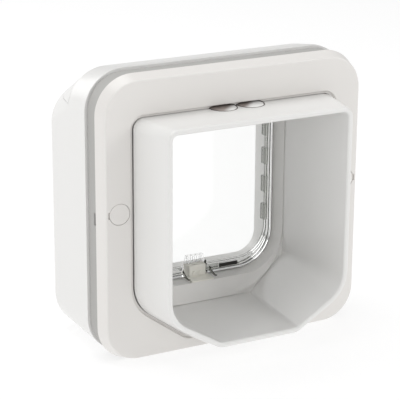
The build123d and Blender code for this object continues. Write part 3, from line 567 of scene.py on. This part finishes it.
class Recipe:
    """A Geometry Nodes tree whose named inputs are set before it is first evaluated."""

    def __init__(self, name: str, inputs: dict[str, str]) -> None:
        """Start a tree with its inputs, given as names to socket types."""
        self.tree = bpy.data.node_groups.new(name, "GeometryNodeTree")
        self.graph = Graph(self.tree)
        face = self.tree.interface
        face.new_socket("Geometry", in_out="INPUT", socket_type="NodeSocketGeometry")
        self.sockets = {
            label: face.new_socket(label, in_out="INPUT", socket_type=kind).identifier
            for label, kind in inputs.items()
        }
        face.new_socket("Geometry", in_out="OUTPUT", socket_type="NodeSocketGeometry")
        self.entry = self.graph.node("NodeGroupInput")

    def value(self, label: str) -> Socket:
        """The socket of a named input."""
        return self.entry.outputs[label]

    def moved(self, geometry: Socket, lift: object) -> Socket:
        """Geometry moved along Z by a number or a socket."""
        offset = self.graph.node("ShaderNodeCombineXYZ", {"Z": lift})
        return self.graph.node(
            "GeometryNodeTransform", {"Geometry": geometry, "Translation": offset.outputs[0]}
        ).outputs[0]

    def joined(self, *parts: Socket) -> Socket:
        """Several geometries as one."""
        join = self.graph.node("GeometryNodeJoinGeometry")
        for part in parts:
            self.tree.links.new(part, join.inputs[0])
        return join.outputs[0]

    def close(self, geometry: Socket) -> None:
        """Realize the geometry, give it its material and hand it out."""
        real = self.graph.node("GeometryNodeRealizeInstances", {"Geometry": geometry})
        dressed = self.graph.node("GeometryNodeSetMaterial", {
            "Geometry": real.outputs[0],
            "Material": self.value("Material"),
        })
        self.graph.node("NodeGroupOutput", {0: dressed.outputs[0]})

    def make(self, name: str, seed: Mesh, values: dict[str, object], sharp: float) -> Piece:
        """Run the tree on a mesh and keep the outcome as a plain mesh.

        Args:
            name: The piece's name.
            seed: The mesh that the tree starts from.
            values: Input names to their values. Material is among them.
            sharp: Edges that turn more than this, in degrees, stay sharp.

        Returns:
            The object.
        """
        piece = added(name, seed)
        maker = piece.modifiers.new(name, "NODES")
        maker.node_group = self.tree
        for label, value in values.items():
            maker[self.sockets[label]] = value
        mesh = settled(piece)
        bpy.data.objects.remove(piece)
        return shown(name, mesh, values["Material"], sharp)


@dataclass(frozen=True)
class ScrewShape:
    """What all screws share: shares of the head's height and radius and of the shank's radius, and steps."""

    crown_height: float = 0.35
    crown_radius: float = 0.8
    slot_length: float = 2.4
    slot_width: float = 0.28
    slot_lift: float = 1.2
    core: float = 0.8
    ridge: float = 0.19
    pitch: float = 0.62
    head_sides: int = 32
    shank_sides: int = 20
    ridge_sides: int = 4
    turn_steps: int = 14


SCREW = ScrewShape()
WIRE_SIDES = 6


def screw_recipe() -> Recipe:
    """A slotted screw at each point: its head, its shank and a thread that winds along it.

    Returns:
        The recipe. Heading is 1 where the head faces outdoors and -1 where it faces indoors.
    """
    labels = ("Shank Radius", "Shank Length", "Head Radius", "Head Height", "Pitch", "Heading")
    recipe = Recipe("slotted_screws", {
        **{label: "NodeSocketFloat" for label in labels},
        "Material": "NodeSocketMaterial",
    })
    radius, length, head_radius, head_height, pitch, heading = (recipe.value(label) for label in labels)
    graph = recipe.graph
    crown = graph.maths("MULTIPLY", head_height, SCREW.crown_height)
    collar = graph.maths("SUBTRACT", head_height, crown)
    head = graph.node("GeometryNodeMeshCone", {
        "Vertices": SCREW.head_sides,
        "Radius Top": head_radius,
        "Radius Bottom": graph.maths("MULTIPLY", head_radius, SCREW.crown_radius),
        "Depth": crown,
    })
    rim = graph.node("GeometryNodeMeshCylinder", {
        "Vertices": SCREW.head_sides,
        "Radius": head_radius,
        "Depth": collar,
    })
    slot_size = graph.node("ShaderNodeCombineXYZ", {
        "X": graph.maths("MULTIPLY", head_radius, SCREW.slot_length),
        "Y": graph.maths("MULTIPLY", head_radius, SCREW.slot_width),
        "Z": head_height,
    })
    slot = graph.node("GeometryNodeMeshCube", {"Size": slot_size.outputs[0]})
    low = graph.maths("MULTIPLY", head_height, -1.0)
    slotted = graph.node("GeometryNodeMeshBoolean", {
        0: recipe.moved(head.outputs["Mesh"], low),
        1: recipe.moved(slot.outputs["Mesh"], graph.maths("MULTIPLY", low, SCREW.slot_lift)),
    }, operation="DIFFERENCE")
    core = graph.maths("MULTIPLY", radius, SCREW.core)
    shank = graph.node("GeometryNodeMeshCylinder", {
        "Vertices": SCREW.shank_sides,
        "Radius": core,
        "Depth": length,
    })
    ridge = graph.node("GeometryNodeCurvePrimitiveCircle", {
        "Resolution": SCREW.ridge_sides,
        "Radius": graph.maths("MULTIPLY", radius, SCREW.ridge),
    })
    helix = graph.node("GeometryNodeCurveSpiral", {
        "Resolution": SCREW.turn_steps,
        "Rotations": graph.maths("DIVIDE", length, pitch),
        "Start Radius": core,
        "End Radius": core,
        "Height": length,
    })
    thread = graph.node("GeometryNodeCurveToMesh", {
        "Curve": helix.outputs[0],
        "Profile Curve": ridge.outputs[0],
        "Fill Caps": True,
    })
    screw = recipe.joined(
        slotted.outputs[0],
        recipe.moved(rim.outputs["Mesh"], graph.maths("MULTIPLY", collar, -0.5)),
        recipe.moved(shank.outputs["Mesh"], graph.maths("MULTIPLY", length, 0.5)),
        thread.outputs[0],
    )
    turn = graph.node("ShaderNodeCombineXYZ", {"X": graph.maths("MULTIPLY", heading, -math.pi / 2)})
    placed = graph.node("GeometryNodeInstanceOnPoints", {
        "Points": recipe.value("Geometry"),
        "Instance": screw,
        "Rotation": turn.outputs[0],
    })
    recipe.close(placed.outputs[0])
    return recipe


def winding_recipe() -> Recipe:
    """Wire that follows closed paths, in even rows along Y."""
    recipe = Recipe("coil_winding", {
        "Wire Radius": "NodeSocketFloat",
        "Rows": "NodeSocketInt",
        "Row Pitch": "NodeSocketFloat",
        "Material": "NodeSocketMaterial",
    })
    graph = recipe.graph
    path = graph.node("GeometryNodeMeshToCurve", {"Mesh": recipe.value("Geometry")})
    wire = graph.node("GeometryNodeCurvePrimitiveCircle", {
        "Resolution": WIRE_SIDES,
        "Radius": recipe.value("Wire Radius"),
    })
    turn = graph.node("GeometryNodeCurveToMesh", {"Curve": path.outputs[0], "Profile Curve": wire.outputs[0]})
    step = graph.node("ShaderNodeCombineXYZ", {"Y": recipe.value("Row Pitch")})
    rows = graph.node("GeometryNodeMeshLine", {"Count": recipe.value("Rows"), "Offset": step.outputs[0]})
    placed = graph.node("GeometryNodeInstanceOnPoints", {
        "Points": rows.outputs[0],
        "Instance": turn.outputs[0],
    })
    recipe.close(placed.outputs[0])
    return recipe


# Sub-assemblies


@dataclass(frozen=True)
class TunnelSection:
    """Cross-section of the tunnel: flat top, upright sides, chamfered lower corners and flat floor."""

    half_width: float
    top: float
    bottom: float
    shoulder: float
    floor_half: float
    top_round: float
    shoulder_round: float
    floor_round: float

    def inset(self, wall: float) -> "TunnelSection":
        """The parallel section inside this one by a wall, or outside it where that is negative."""
        turn = math.atan2(self.half_width - self.floor_half, self.shoulder - self.bottom)
        rest = math.atan2(self.shoulder - self.bottom, self.half_width - self.floor_half)
        return TunnelSection(
            self.half_width - wall,
            self.top - wall,
            self.bottom + wall,
            self.shoulder + wall * math.tan(turn / 2),
            self.floor_half - wall * math.tan(rest / 2),
            self.top_round - wall,
            self.shoulder_round - wall,
            self.floor_round - wall,
        )

    def points(self) -> list[Point]:
        """The section's outline."""
        return outline([
            Corner(-self.half_width, self.top, self.top_round),
            Corner(self.half_width, self.top, self.top_round),
            Corner(self.half_width, self.shoulder, self.shoulder_round),
            Corner(self.floor_half, self.bottom, self.floor_round),
            Corner(-self.floor_half, self.bottom, self.floor_round),
            Corner(-self.half_width, self.shoulder, self.shoulder_round),
        ])


HOOD_WALL = 3.9
HOOD_FRONT = TunnelSection(73.1, ROOF, -89.0, -63.9, 31.7, 8.0, 28.0, 12.0)
HOOD_FOOT = TunnelSection(80.4, ROOF, -92.2, -61.3, 38.5, 8.0, 28.0, 12.0)
HOOD_BASE = TunnelSection(77.0, ROOF, -93.0, -62.5, 38.0, 8.0, 28.0, 12.0)
HOOD_MOUTH = HOOD_FRONT.inset(HOOD_WALL)
TUNNEL_END = TunnelSection(67.0, 71.1, -87.9, -60.4, 39.5, 4.1, 3.5, 3.5)


@dataclass
class OuterFrame:
    """The rounded square plate that faces outdoors, with its screw caps."""

    half: float = 105.0
    corner: float = 28.0
    draft: float = 2.9
    edge_round: float = 1.6
    edge_steps: int = 5
    cutout_gap: float = 2.0
    cutout_round: float = 0.9
    cutout_steps: int = 4
    rebate_depth: float = 2.0
    rebate_width: float = 1.7
    cap_radius: float = 7.6
    cap_gap: float = 0.25
    cap_thickness: float = 1.6
    cap_round: float = 0.35
    cap_steps: int = 3
    recess_steps: int = 44
    slot_reach: float = 1.05
    slot_height: float = 5.0
    scallop_steps: int = 24
    scallop_reach: float = 10.85
    scallop_rise: float = 2.1
    scallop_back: float = 0.7

    def rim(self, inset: float) -> list[Point]:
        """The plate's outline, drawn in by an inset."""
        half, radius = self.half - inset, self.corner - inset
        return outline([
            Corner(-half, half, radius),
            Corner(half, half, radius),
            Corner(half, -half, radius),
            Corner(-half, -half, radius),
        ])

    def cutout(self, spread: float, scallop: float = 1.0) -> list[Point]:
        """Outline of the cut-out for the hood, with a scallop above each window.

        Args:
            spread: How far outside the plain cut-out.
            scallop: Share of the scallops' full rise.

        Returns:
            The outline's points.
        """
        section = HOOD_FOOT.inset(-self.cutout_gap - spread).points()
        level = max(z for _, z in section)
        bulge = max(spread, 0.0)
        reach, rise = self.scallop_reach + bulge, (self.scallop_rise + bulge) * scallop
        crest = []
        for middle in (-WINDOW_OFFSET, WINDOW_OFFSET):
            for step in range(self.scallop_steps + 1):
                x = middle + reach * (2 * step / self.scallop_steps - 1)
                lift = rise * math.sqrt(max(0.0, 1 - ((x - middle) / reach) ** 2))
                crest.append((x, max(level, ROOF + lift)))
        left = [(x, z) for x, z in crest if x < 0]
        right = [(x, z) for x, z in crest if x > 0]
        start = next(index for index, (x, _) in enumerate(section) if x > 0)
        return section[:start] + left + right + section[start:]

    def recess(self, side: int) -> list[Point]:
        """Outline of a cap's recess on one side, with the notch for prying it out."""
        radius = self.cap_radius + self.cap_gap
        half = math.asin(self.slot_height / 2 / radius)
        count = self.recess_steps
        turns = [half + (2 * math.pi - 2 * half) * step / count for step in range(count + 1)]
        points = [(radius * math.cos(turn), radius * math.sin(turn)) for turn in turns]
        reach = radius + self.slot_reach
        points += [(reach, -self.slot_height / 2), (reach, self.slot_height / 2)]
        offset, level = CAP_PLACE
        return [(side * (offset + x), level + z) for x, z in points]

    def plate(self) -> Piece:
        """Build the plate."""
        skin = Skin()
        front = -PLATE_DEPTH
        rings = [
            skin.ring(self.rim(self.draft + inset), front + depth)
            for depth, inset in quarter(self.edge_round, self.edge_steps)
        ]
        back = skin.ring(self.rim(0.0), 0.0)
        skin.bridge(*rings, back)
        lips = [
            skin.ring(self.cutout(inset), front + depth)
            for depth, inset in quarter(self.cutout_round, self.cutout_steps)
        ]
        step = front + self.rebate_depth
        inner = skin.ring(self.cutout(-self.rebate_width, self.scallop_back), 0.0)
        ledge = [skin.ring(self.cutout(spread), step) for spread in (0.0, -self.rebate_width)]
        skin.bridge(*lips, *ledge, inner)
        recesses = []
        for side in SIDES:
            mouth = skin.ring(self.recess(side), front)
            floor = skin.ring(self.recess(side), front + self.cap_thickness)
            skin.bridge(mouth, floor)
            skin.fill(floor)
            recesses.append(mouth)
        skin.fill(rings[0], lips[0], *recesses)
        skin.fill(back, inner)
        piece = skin.build("outer_plate", Finish.WARM.material())
        even_shading(piece)
        return fitted(piece, "outer_frame")

    def caps(self) -> Piece:
        """Build both screw caps."""
        skin = Skin()
        offset, level = CAP_PLACE
        for side in SIDES:
            middle = (side * offset, level)
            rings = [
                skin.ring(circle(*middle, self.cap_radius - inset), -PLATE_DEPTH + depth)
                for depth, inset in quarter(self.cap_round, self.cap_steps)
            ]
            base = skin.ring(circle(*middle, self.cap_radius), -PLATE_DEPTH + self.cap_thickness)
            skin.closed(*rings, base)
        piece = skin.build("screw_covers", Finish.WARM.material())
        even_shading(piece)
        return fitted(piece, "screw_caps")

    def build(self) -> list[Piece]:
        """Build and dress the frame's pieces."""
        return [self.plate(), self.caps()]


@dataclass
class EntranceHood:
    """The hood and tunnel, one moulding, with the two round windows in its roof."""

    reach: float = 48.0
    end: float = 36.0
    lip_round: float = 1.7
    lip_steps: int = 6
    flange_front: float = 18.3
    flange_thickness: float = 3.0
    flange_width: float = 6.0
    window_setback: float = 10.0
    lens_turns: range = range(6, 91, 12)
    lens_drop: float = 0.3
    lens_rise: float = 0.35
    seal_width: float = 1.0
    seal_lap: float = 0.4
    seal_rise: float = 0.15
    seal_bevel: Point = (0.15, 0.2)
    tilt: float = 1.0
    recess: float = 2.2
    recess_clear: float = 1.0

    def moulding(self) -> Piece:
        """Build the hood and the tunnel behind it."""
        skin = Skin()
        lip = quarter(self.lip_round, self.lip_steps)
        outside = [
            skin.ring(HOOD_FRONT.inset(inset).points(), depth - self.reach) for depth, inset in lip
        ]
        inside = [
            skin.ring(HOOD_MOUTH.inset(-inset).points(), depth - self.reach) for depth, inset in lip
        ]
        base = HOOD_BASE.points()
        wide = HOOD_BASE.inset(-self.flange_width).points()
        flange_back = self.flange_front + self.flange_thickness
        outside += [
            skin.ring(HOOD_FOOT.points(), -PLATE_DEPTH),
            skin.ring(base, 0.0),
            skin.ring(base, self.flange_front),
            skin.ring(wide, self.flange_front),
            skin.ring(wide, flange_back),
            skin.ring(base, flange_back),
            skin.ring(base, self.end),
        ]
        inside.append(skin.ring(TUNNEL_END.points(), self.end))
        skin.bridge(*reversed(inside), *outside, inside[-1])
        piece = skin.build("entrance_hood", Finish.WHITE.material())
        carve(piece, self.window_cutter())
        piece.data.set_sharp_from_angle(angle=math.radians(SHARP))
        even_shading(piece)
        return fitted(piece, "entrance_tunnel")

    def turned(self, profile: list[Point], name: str, material: Material, tilt: float = 0.0) -> Piece:
        """Turn a closed profile about each window's upright axis.

        Args:
            profile: Radius and level pairs, from the middle of the top to the middle of the bottom or round.
            name: The piece's name.
            material: Its material.
            tilt: How much higher its top is at the back than at the front.

        Returns:
            The object.
        """
        skin = Skin()
        turns = [2 * math.pi * step / TURNED_STEPS for step in range(TURNED_STEPS)]
        base = min(level for _, level in profile)
        wide = max(radius for radius, _ in profile)
        for side in SIDES:
            rings = []
            for radius, level in profile:
                rise = tilt / 2 if level > base else 0.0
                rings.append([
                    skin.bm.verts.new((
                        (side * WINDOW_OFFSET + radius * math.cos(turn)) * MM,
                        (-self.window_setback + radius * math.sin(turn)) * MM,
                        (level + rise * (1 + radius / wide * math.sin(turn))) * MM,
                    ))
                    for turn in turns
                ])
            if profile[0] == profile[-1]:
                skin.bridge(*rings)
            else:
                skin.closed(*rings)
        return skin.build(name, material, TURNED_SHARP)

    def window_cutter(self) -> Piece:
        """What is cut out of the roof for the windows."""
        radius = WINDOW_RADIUS + self.seal_width
        profile = [(radius, ROOF + self.recess_clear), (radius, ROOF - self.recess)]
        return self.turned(profile, "window_cutter", Finish.WHITE.material())

    def windows(self) -> list[Piece]:
        """Build the windows and their dark seals."""
        floor = ROOF - self.recess
        inner, outer = WINDOW_RADIUS + self.seal_lap, WINDOW_RADIUS + self.seal_width
        dome = [
            (inner * math.sin(turn), ROOF - self.lens_drop + self.lens_rise * math.cos(turn))
            for turn in map(math.radians, self.lens_turns)
        ]
        lens = self.turned([*dome, (inner, floor)], "roof_windows", Finish.SMOKED.material(), self.tilt)
        top = ROOF + self.seal_rise
        draw, drop = self.seal_bevel
        ring = [
            (inner, floor), (outer, floor), (outer, top - drop), (outer - draw, top),
            (inner + draw, top), (inner, top - drop), (inner, floor),
        ]
        seal = self.turned(ring, "window_rims", Finish.RIM.material(), self.tilt)
        for piece in (lens, seal):
            even_shading(piece)
        return [
            fitted(lens, "sensor_windows"),
            fitted(seal, "window_seals"),
        ]

    def build(self) -> list[Piece]:
        """Build and dress the hood's pieces."""
        return [self.moulding(), *self.windows()]


@dataclass
class IndoorHousing:
    """The grey seal, the deep shell behind it and what is on its indoor face."""

    nodes: dict[str, Piece]
    seal_half: float = 103.2
    notch_level: float = 2.0
    notch_height: float = 9.2
    notch_depth: float = 7.0
    notch_cut: float = 3.0

    def build(self) -> list[Piece]:
        """Build and dress the housing's pieces."""
        pieces = [
            softened(self.nodes[node], name, finish.material(), slot, joined=finish is not Finish.WHITE)
            for node, name, finish, slot in (
                ("door_gasket", "seal_ring", Finish.SEAL, "grey_seal"),
                ("housing_cover", "housing_shell", Finish.WHITE, "white_plastic"),
                ("battery_cover", "battery_lid_shell", Finish.WHITE, "white_plastic"),
                ("lock_slider", "thumb_slider", Finish.BUTTON, "button_grey"),
                ("learn_button", "round_button", Finish.BUTTON, "button_grey"),
                ("status_light", "light_tip", Finish.LIGHT, "light_pipe"),
            )
        ]
        carve(pieces[0], self.notch_cutter())
        even_shading(pieces[0])
        return pieces

    def notch_cutter(self) -> Piece:
        """What is cut out of the seal's front edge on each side."""
        skin = Skin()
        low, high = self.notch_level - self.notch_height / 2, self.notch_level + self.notch_height / 2
        for side in SIDES:
            inner = side * (self.seal_half - self.notch_cut)
            outer = side * (self.seal_half + self.notch_cut)
            square = [(inner, low), (outer, low), (outer, high), (inner, high)]
            skin.closed(*[skin.ring(square, depth) for depth in (-self.notch_cut, self.notch_depth)])
        return skin.build("notch_cutter", Finish.SEAL.material())


@dataclass
class SwingFlap:
    """The clear flap with its magnets and dark hooks of painted shade, the surround that it hangs in and its
    latches.
    """

    nodes: dict[str, Piece]
    edge_half: float = 57.2
    edge_foot: float = -66.5
    hook_offset: float = 11.4
    hook_width: float = 0.9
    hook_side: tuple[Point, ...] = (
        (49.6, -66.6), (46.5, -68.6), (43.0, -70.0), (40.0, -70.6), (38.2, -70.0),
        (38.0, -70.6), (39.6, -71.4), (43.0, -71.2), (47.0, -70.6), (49.6, -70.2),
    )

    def build(self) -> list[Piece]:
        """Build and dress the flap's pieces."""
        pieces = [
            softened(self.nodes[node], name, finish.material(), slot, edge)
            for node, name, finish, slot, edge in (
                ("flap", "clear_panel", Finish.CLEAR, "clear_plastic", 0.0),
                ("flap_magnets", "magnet_bars", Finish.MAGNET, "magnet", 0.2),
                ("flap_frame", "flap_surround", Finish.INNER, "inner_plastic", 0.0),
                ("latch_guide", "guide_block", Finish.LATCH, "latch_plastic", 0.3),
                ("guide_screws", "guide_heads", Finish.LATCH, "latch_plastic", 0.2),
                ("outer_latch", "outer_finger", Finish.LATCH, "latch_plastic", 0.2),
                ("inner_latch", "inner_finger", Finish.LATCH, "latch_plastic", 0.2),
            )
        ]
        # Painted shade on the clear panel's rim, tabs and foot
        self.paint_edge_shade(pieces[0])
        return [*pieces, self.shade_hooks()]

    def shade_hooks(self) -> Piece:
        """Build the two dark clear hooks that reach forward from the panel's foot, beside its notch: painted
        shadow and reflection of the rim's ends on the sill.
        """
        skin = Skin()
        for side in SIDES:
            cheeks = []
            for shift in (-self.hook_width / 2, self.hook_width / 2):
                x = (side * self.hook_offset + shift) * MM
                cheeks.append([skin.bm.verts.new((x, y * MM, z * MM)) for y, z in self.hook_side])
            skin.closed(*cheeks)
        piece = skin.build("foot_shade_hooks", Finish.CLEAR_HOOK_SHADE.material())
        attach(piece, "swing_flap")
        return piece

    def paint_edge_shade(self, panel: Piece) -> None:
        """Paint shade on the panel's rim, tabs and foot: a darker tint stands in for the dark refraction
        where light goes a long way through the plastic.
        """
        panel.data.materials.append(Finish.CLEAR_EDGE_SHADE.material())
        for face in panel.data.polygons:
            if abs(face.center.x) > self.edge_half * MM or face.center.z < self.edge_foot * MM:
                face.material_index = 1


class Heading(Enum):
    """Which way a screw's head faces."""

    OUTDOORS = 1.0
    INDOORS = -1.0


@dataclass(frozen=True)
class ScrewGroup:
    """Screws of one kind, all driven the same way."""

    node: str
    places: tuple[Point, ...]
    seat: float
    length: float
    radius: float
    head_radius: float
    head_height: float
    heading: Heading
    paired: bool = True

    def points(self) -> list[Place]:
        """Where the heads sit, with their mirror images where they are paired."""
        sides = SIDES if self.paired else (1,)
        return [(side * x * MM, self.seat * MM, z * MM) for x, z in self.places for side in sides]


@dataclass
class InnerWorks:
    """What is inside the housing: dressed CAD pieces, the screws and the coil."""

    nodes: dict[str, Piece]
    finishes: dict[str, Finish] = field(default_factory=lambda: {
        "hinge_pins": Finish.STEEL,
        "outer_plunger": Finish.STEEL,
        "inner_plunger": Finish.STEEL,
        "latch_solenoids": Finish.PARTS,
        "back_plate": Finish.INNER,
        "battery_wells": Finish.INNER,
        "battery_contacts": Finish.PLATED,
        "batteries": Finish.CELL,
        "circuit_board": Finish.BOARD,
        "board_components": Finish.PARTS,
    })
    groups: tuple[ScrewGroup, ...] = (
        ScrewGroup("fixing_screws", (CAP_PLACE,), -6.0, 39.3, 2.0, 4.0, 2.5, Heading.OUTDOORS),
        ScrewGroup("tunnel_screws", ((50.0, 78.6), (79.8, -20.0)), 21.3, 6.0, 1.4, 2.8, 1.8, Heading.INDOORS),
        ScrewGroup("frame_screws", ((88.0, 44.0), (88.0, -46.0)), 39.0, 11.9, 1.4, 2.8, 1.8, Heading.INDOORS),
        ScrewGroup(
            "cover_screws", ((92.0, -86.0), (60.0, 98.0)), 17.1, 10.1, 1.4, 2.8, 1.7, Heading.OUTDOORS
        ),
        ScrewGroup(
            "board_screws", ((81.0, -13.0), (81.0, -73.0)), 68.2, 7.7, 1.4, 2.8, 1.8, Heading.OUTDOORS, False
        ),
    )
    coil_front: float = 23.5
    coil_depth: float = 8.0
    coil_gap: float = 0.8
    wire_radius: float = 0.5
    layers: int = 3

    def screws(self) -> list[Piece]:
        """Build each group of screws."""
        recipe = screw_recipe()
        pieces = []
        for group in self.groups:
            seed = bpy.data.meshes.new(group.node)
            seed.from_pydata(group.points(), [], [])
            piece = recipe.make(f"slotted_{group.node}", seed, {
                "Shank Radius": group.radius * MM,
                "Shank Length": group.length * MM,
                "Head Radius": group.head_radius * MM,
                "Head Height": group.head_height * MM,
                "Pitch": group.radius * SCREW.pitch * MM,
                "Heading": group.heading.value,
                "Material": Finish.STEEL.material(),
            }, TURNED_SHARP)
            pieces.append(fitted(piece, group.node))
        return pieces

    def coil(self) -> Piece:
        """Wind the coil round the tunnel."""
        pitch = 2 * self.wire_radius
        points, edges = [], []
        for layer in range(self.layers):
            path = HOOD_BASE.inset(-self.coil_gap - self.wire_radius - layer * pitch).points()
            start = len(points)
            points += [(x * MM, (self.coil_front + self.wire_radius) * MM, z * MM) for x, z in path]
            edges += [(start + step, start + (step + 1) % len(path)) for step in range(len(path))]
        seed = bpy.data.meshes.new("coil_paths")
        seed.from_pydata(points, edges, [])
        piece = winding_recipe().make("coil_winding", seed, {
            "Wire Radius": self.wire_radius * MM,
            "Rows": int(self.coil_depth / pitch),
            "Row Pitch": pitch * MM,
            "Material": Finish.COPPER.material(),
        }, WIRE_SHARP)
        return fitted(piece, "antenna_coil")

    def build(self) -> list[Piece]:
        """Build and dress the inner pieces."""
        for name, finish in self.finishes.items():
            materials = self.nodes[name].data.materials
            materials.clear()
            materials.append(finish.material())
        return [*[self.nodes[name] for name in self.finishes], *self.screws(), self.coil()]


# Stage


@dataclass(frozen=True)
class SoftBox:
    """A square studio light that looks at a point."""

    name: str
    place: Place
    size: float
    power: float
    target: Place = (0.0, 0.0, 0.0)

    def build(self) -> None:
        """Put the light in the scene."""
        lamp = bpy.data.lights.new(self.name, "AREA")
        lamp.shape = "SQUARE"
        lamp.size = self.size
        lamp.energy = self.power
        holder = added(self.name, lamp)
        holder.location = self.place
        gaze = Vector(self.target) - Vector(self.place)
        holder.rotation_mode = "QUATERNION"
        holder.rotation_quaternion = gaze.to_track_quat("-Z", "Y")


@dataclass
class Studio:
    """Camera, floor and lights."""

    azimuth: float = -28.01
    elevation: float = 18.26
    roll: float = 0.33
    distance: float = 1.183
    target: Place = (-0.02348, 0.0, 0.00596)
    focal: float = 149.29
    sensor: float = 36.0
    floor_level: float = -0.105
    floor_half: float = 6.0
    ambient: float = 0.47
    boxes: tuple[SoftBox, ...] = (
        SoftBox("overhead_light", (-0.2, 0.3, 1.5), 1.4, 12.0),
        SoftBox("left_light", (-1.8, -0.2, 0.5), 1.2, 6.0),
        SoftBox("right_light", (1.5, -1.4, 0.9), 0.9, 11.0),
        SoftBox("front_light", (-0.5, -1.7, 0.9), 0.9, 3.6),
        SoftBox("back_light", (-0.6, 1.6, 0.6), 1.0, 4.5, (0.05, 0.05, -0.03)),
    )

    def camera(self) -> None:
        """Put the camera where the photograph was taken from."""
        lens = bpy.data.cameras.new("camera")
        lens.lens = self.focal
        lens.sensor_width = self.sensor
        holder = added("camera", lens)
        turn, rise = math.radians(self.azimuth), math.radians(self.elevation)
        back = Vector((math.sin(turn) * math.cos(rise), -math.cos(turn) * math.cos(rise), math.sin(rise)))
        right = (-back).cross(Vector((0.0, 0.0, 1.0))).normalized()
        up = right.cross(-back)
        lean = math.radians(self.roll)
        side = right * math.cos(lean) + up * math.sin(lean)
        top = up * math.cos(lean) - right * math.sin(lean)
        pose = Matrix((side, top, back)).transposed().to_4x4()
        pose.translation = Vector(self.target) + back * self.distance
        holder.matrix_world = pose
        bpy.context.scene.camera = holder

    def floor(self) -> None:
        """Lay the pale floor."""
        mesh = bpy.data.meshes.new("floor")
        half, level = self.floor_half, self.floor_level
        edge = [(-half, -half, level), (half, -half, level), (half, half, level), (-half, half, level)]
        mesh.from_pydata(edge, [], [(0, 1, 2, 3)])
        mesh.materials.append(Finish.FLOOR.material())
        piece = added("floor", mesh)
        piece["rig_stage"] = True

    def lights(self) -> None:
        """Set the even white surroundings and the soft boxes."""
        world = bpy.data.worlds.new("surroundings")
        world.use_nodes = True
        graph = Graph(world.node_tree)
        white = (1.0, 1.0, 1.0, 1.0)
        glow = graph.node("ShaderNodeBackground", {"Color": white, "Strength": self.ambient})
        graph.node("ShaderNodeOutputWorld", {"Surface": glow.outputs["Background"]})
        bpy.context.scene.world = world
        for box in self.boxes:
            box.build()

    def build(self) -> None:
        """Set up the stage."""
        scene = bpy.context.scene
        scene.view_settings.view_transform = "Standard"
        scene.view_settings.look = "None"
        self.camera()
        self.floor()
        self.lights()


def corners(box: tuple[Vector, Vector]) -> list[list[float]]:
    """A box's lowest and highest corners as plain lists."""
    return [list(corner) for corner in box]


def main() -> None:
    """Build the object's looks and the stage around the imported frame."""
    logging.basicConfig(level=logging.INFO, format="%(name)s: %(message)s")
    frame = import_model()
    cad_box = corners(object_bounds())
    nodes = frame["nodes"]
    Studio().build()
    for assembly in (
        OuterFrame(), EntranceHood(), IndoorHousing(nodes), SwingFlap(nodes), InnerWorks(nodes)
    ):
        for piece in assembly.build():
            LOG.info("%s: %s, %d faces", type(assembly).__name__, piece.name, len(piece.data.polygons))
    {"cad": cad_box, "visual": corners(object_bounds())}


if __name__ == "__main__":
    main()
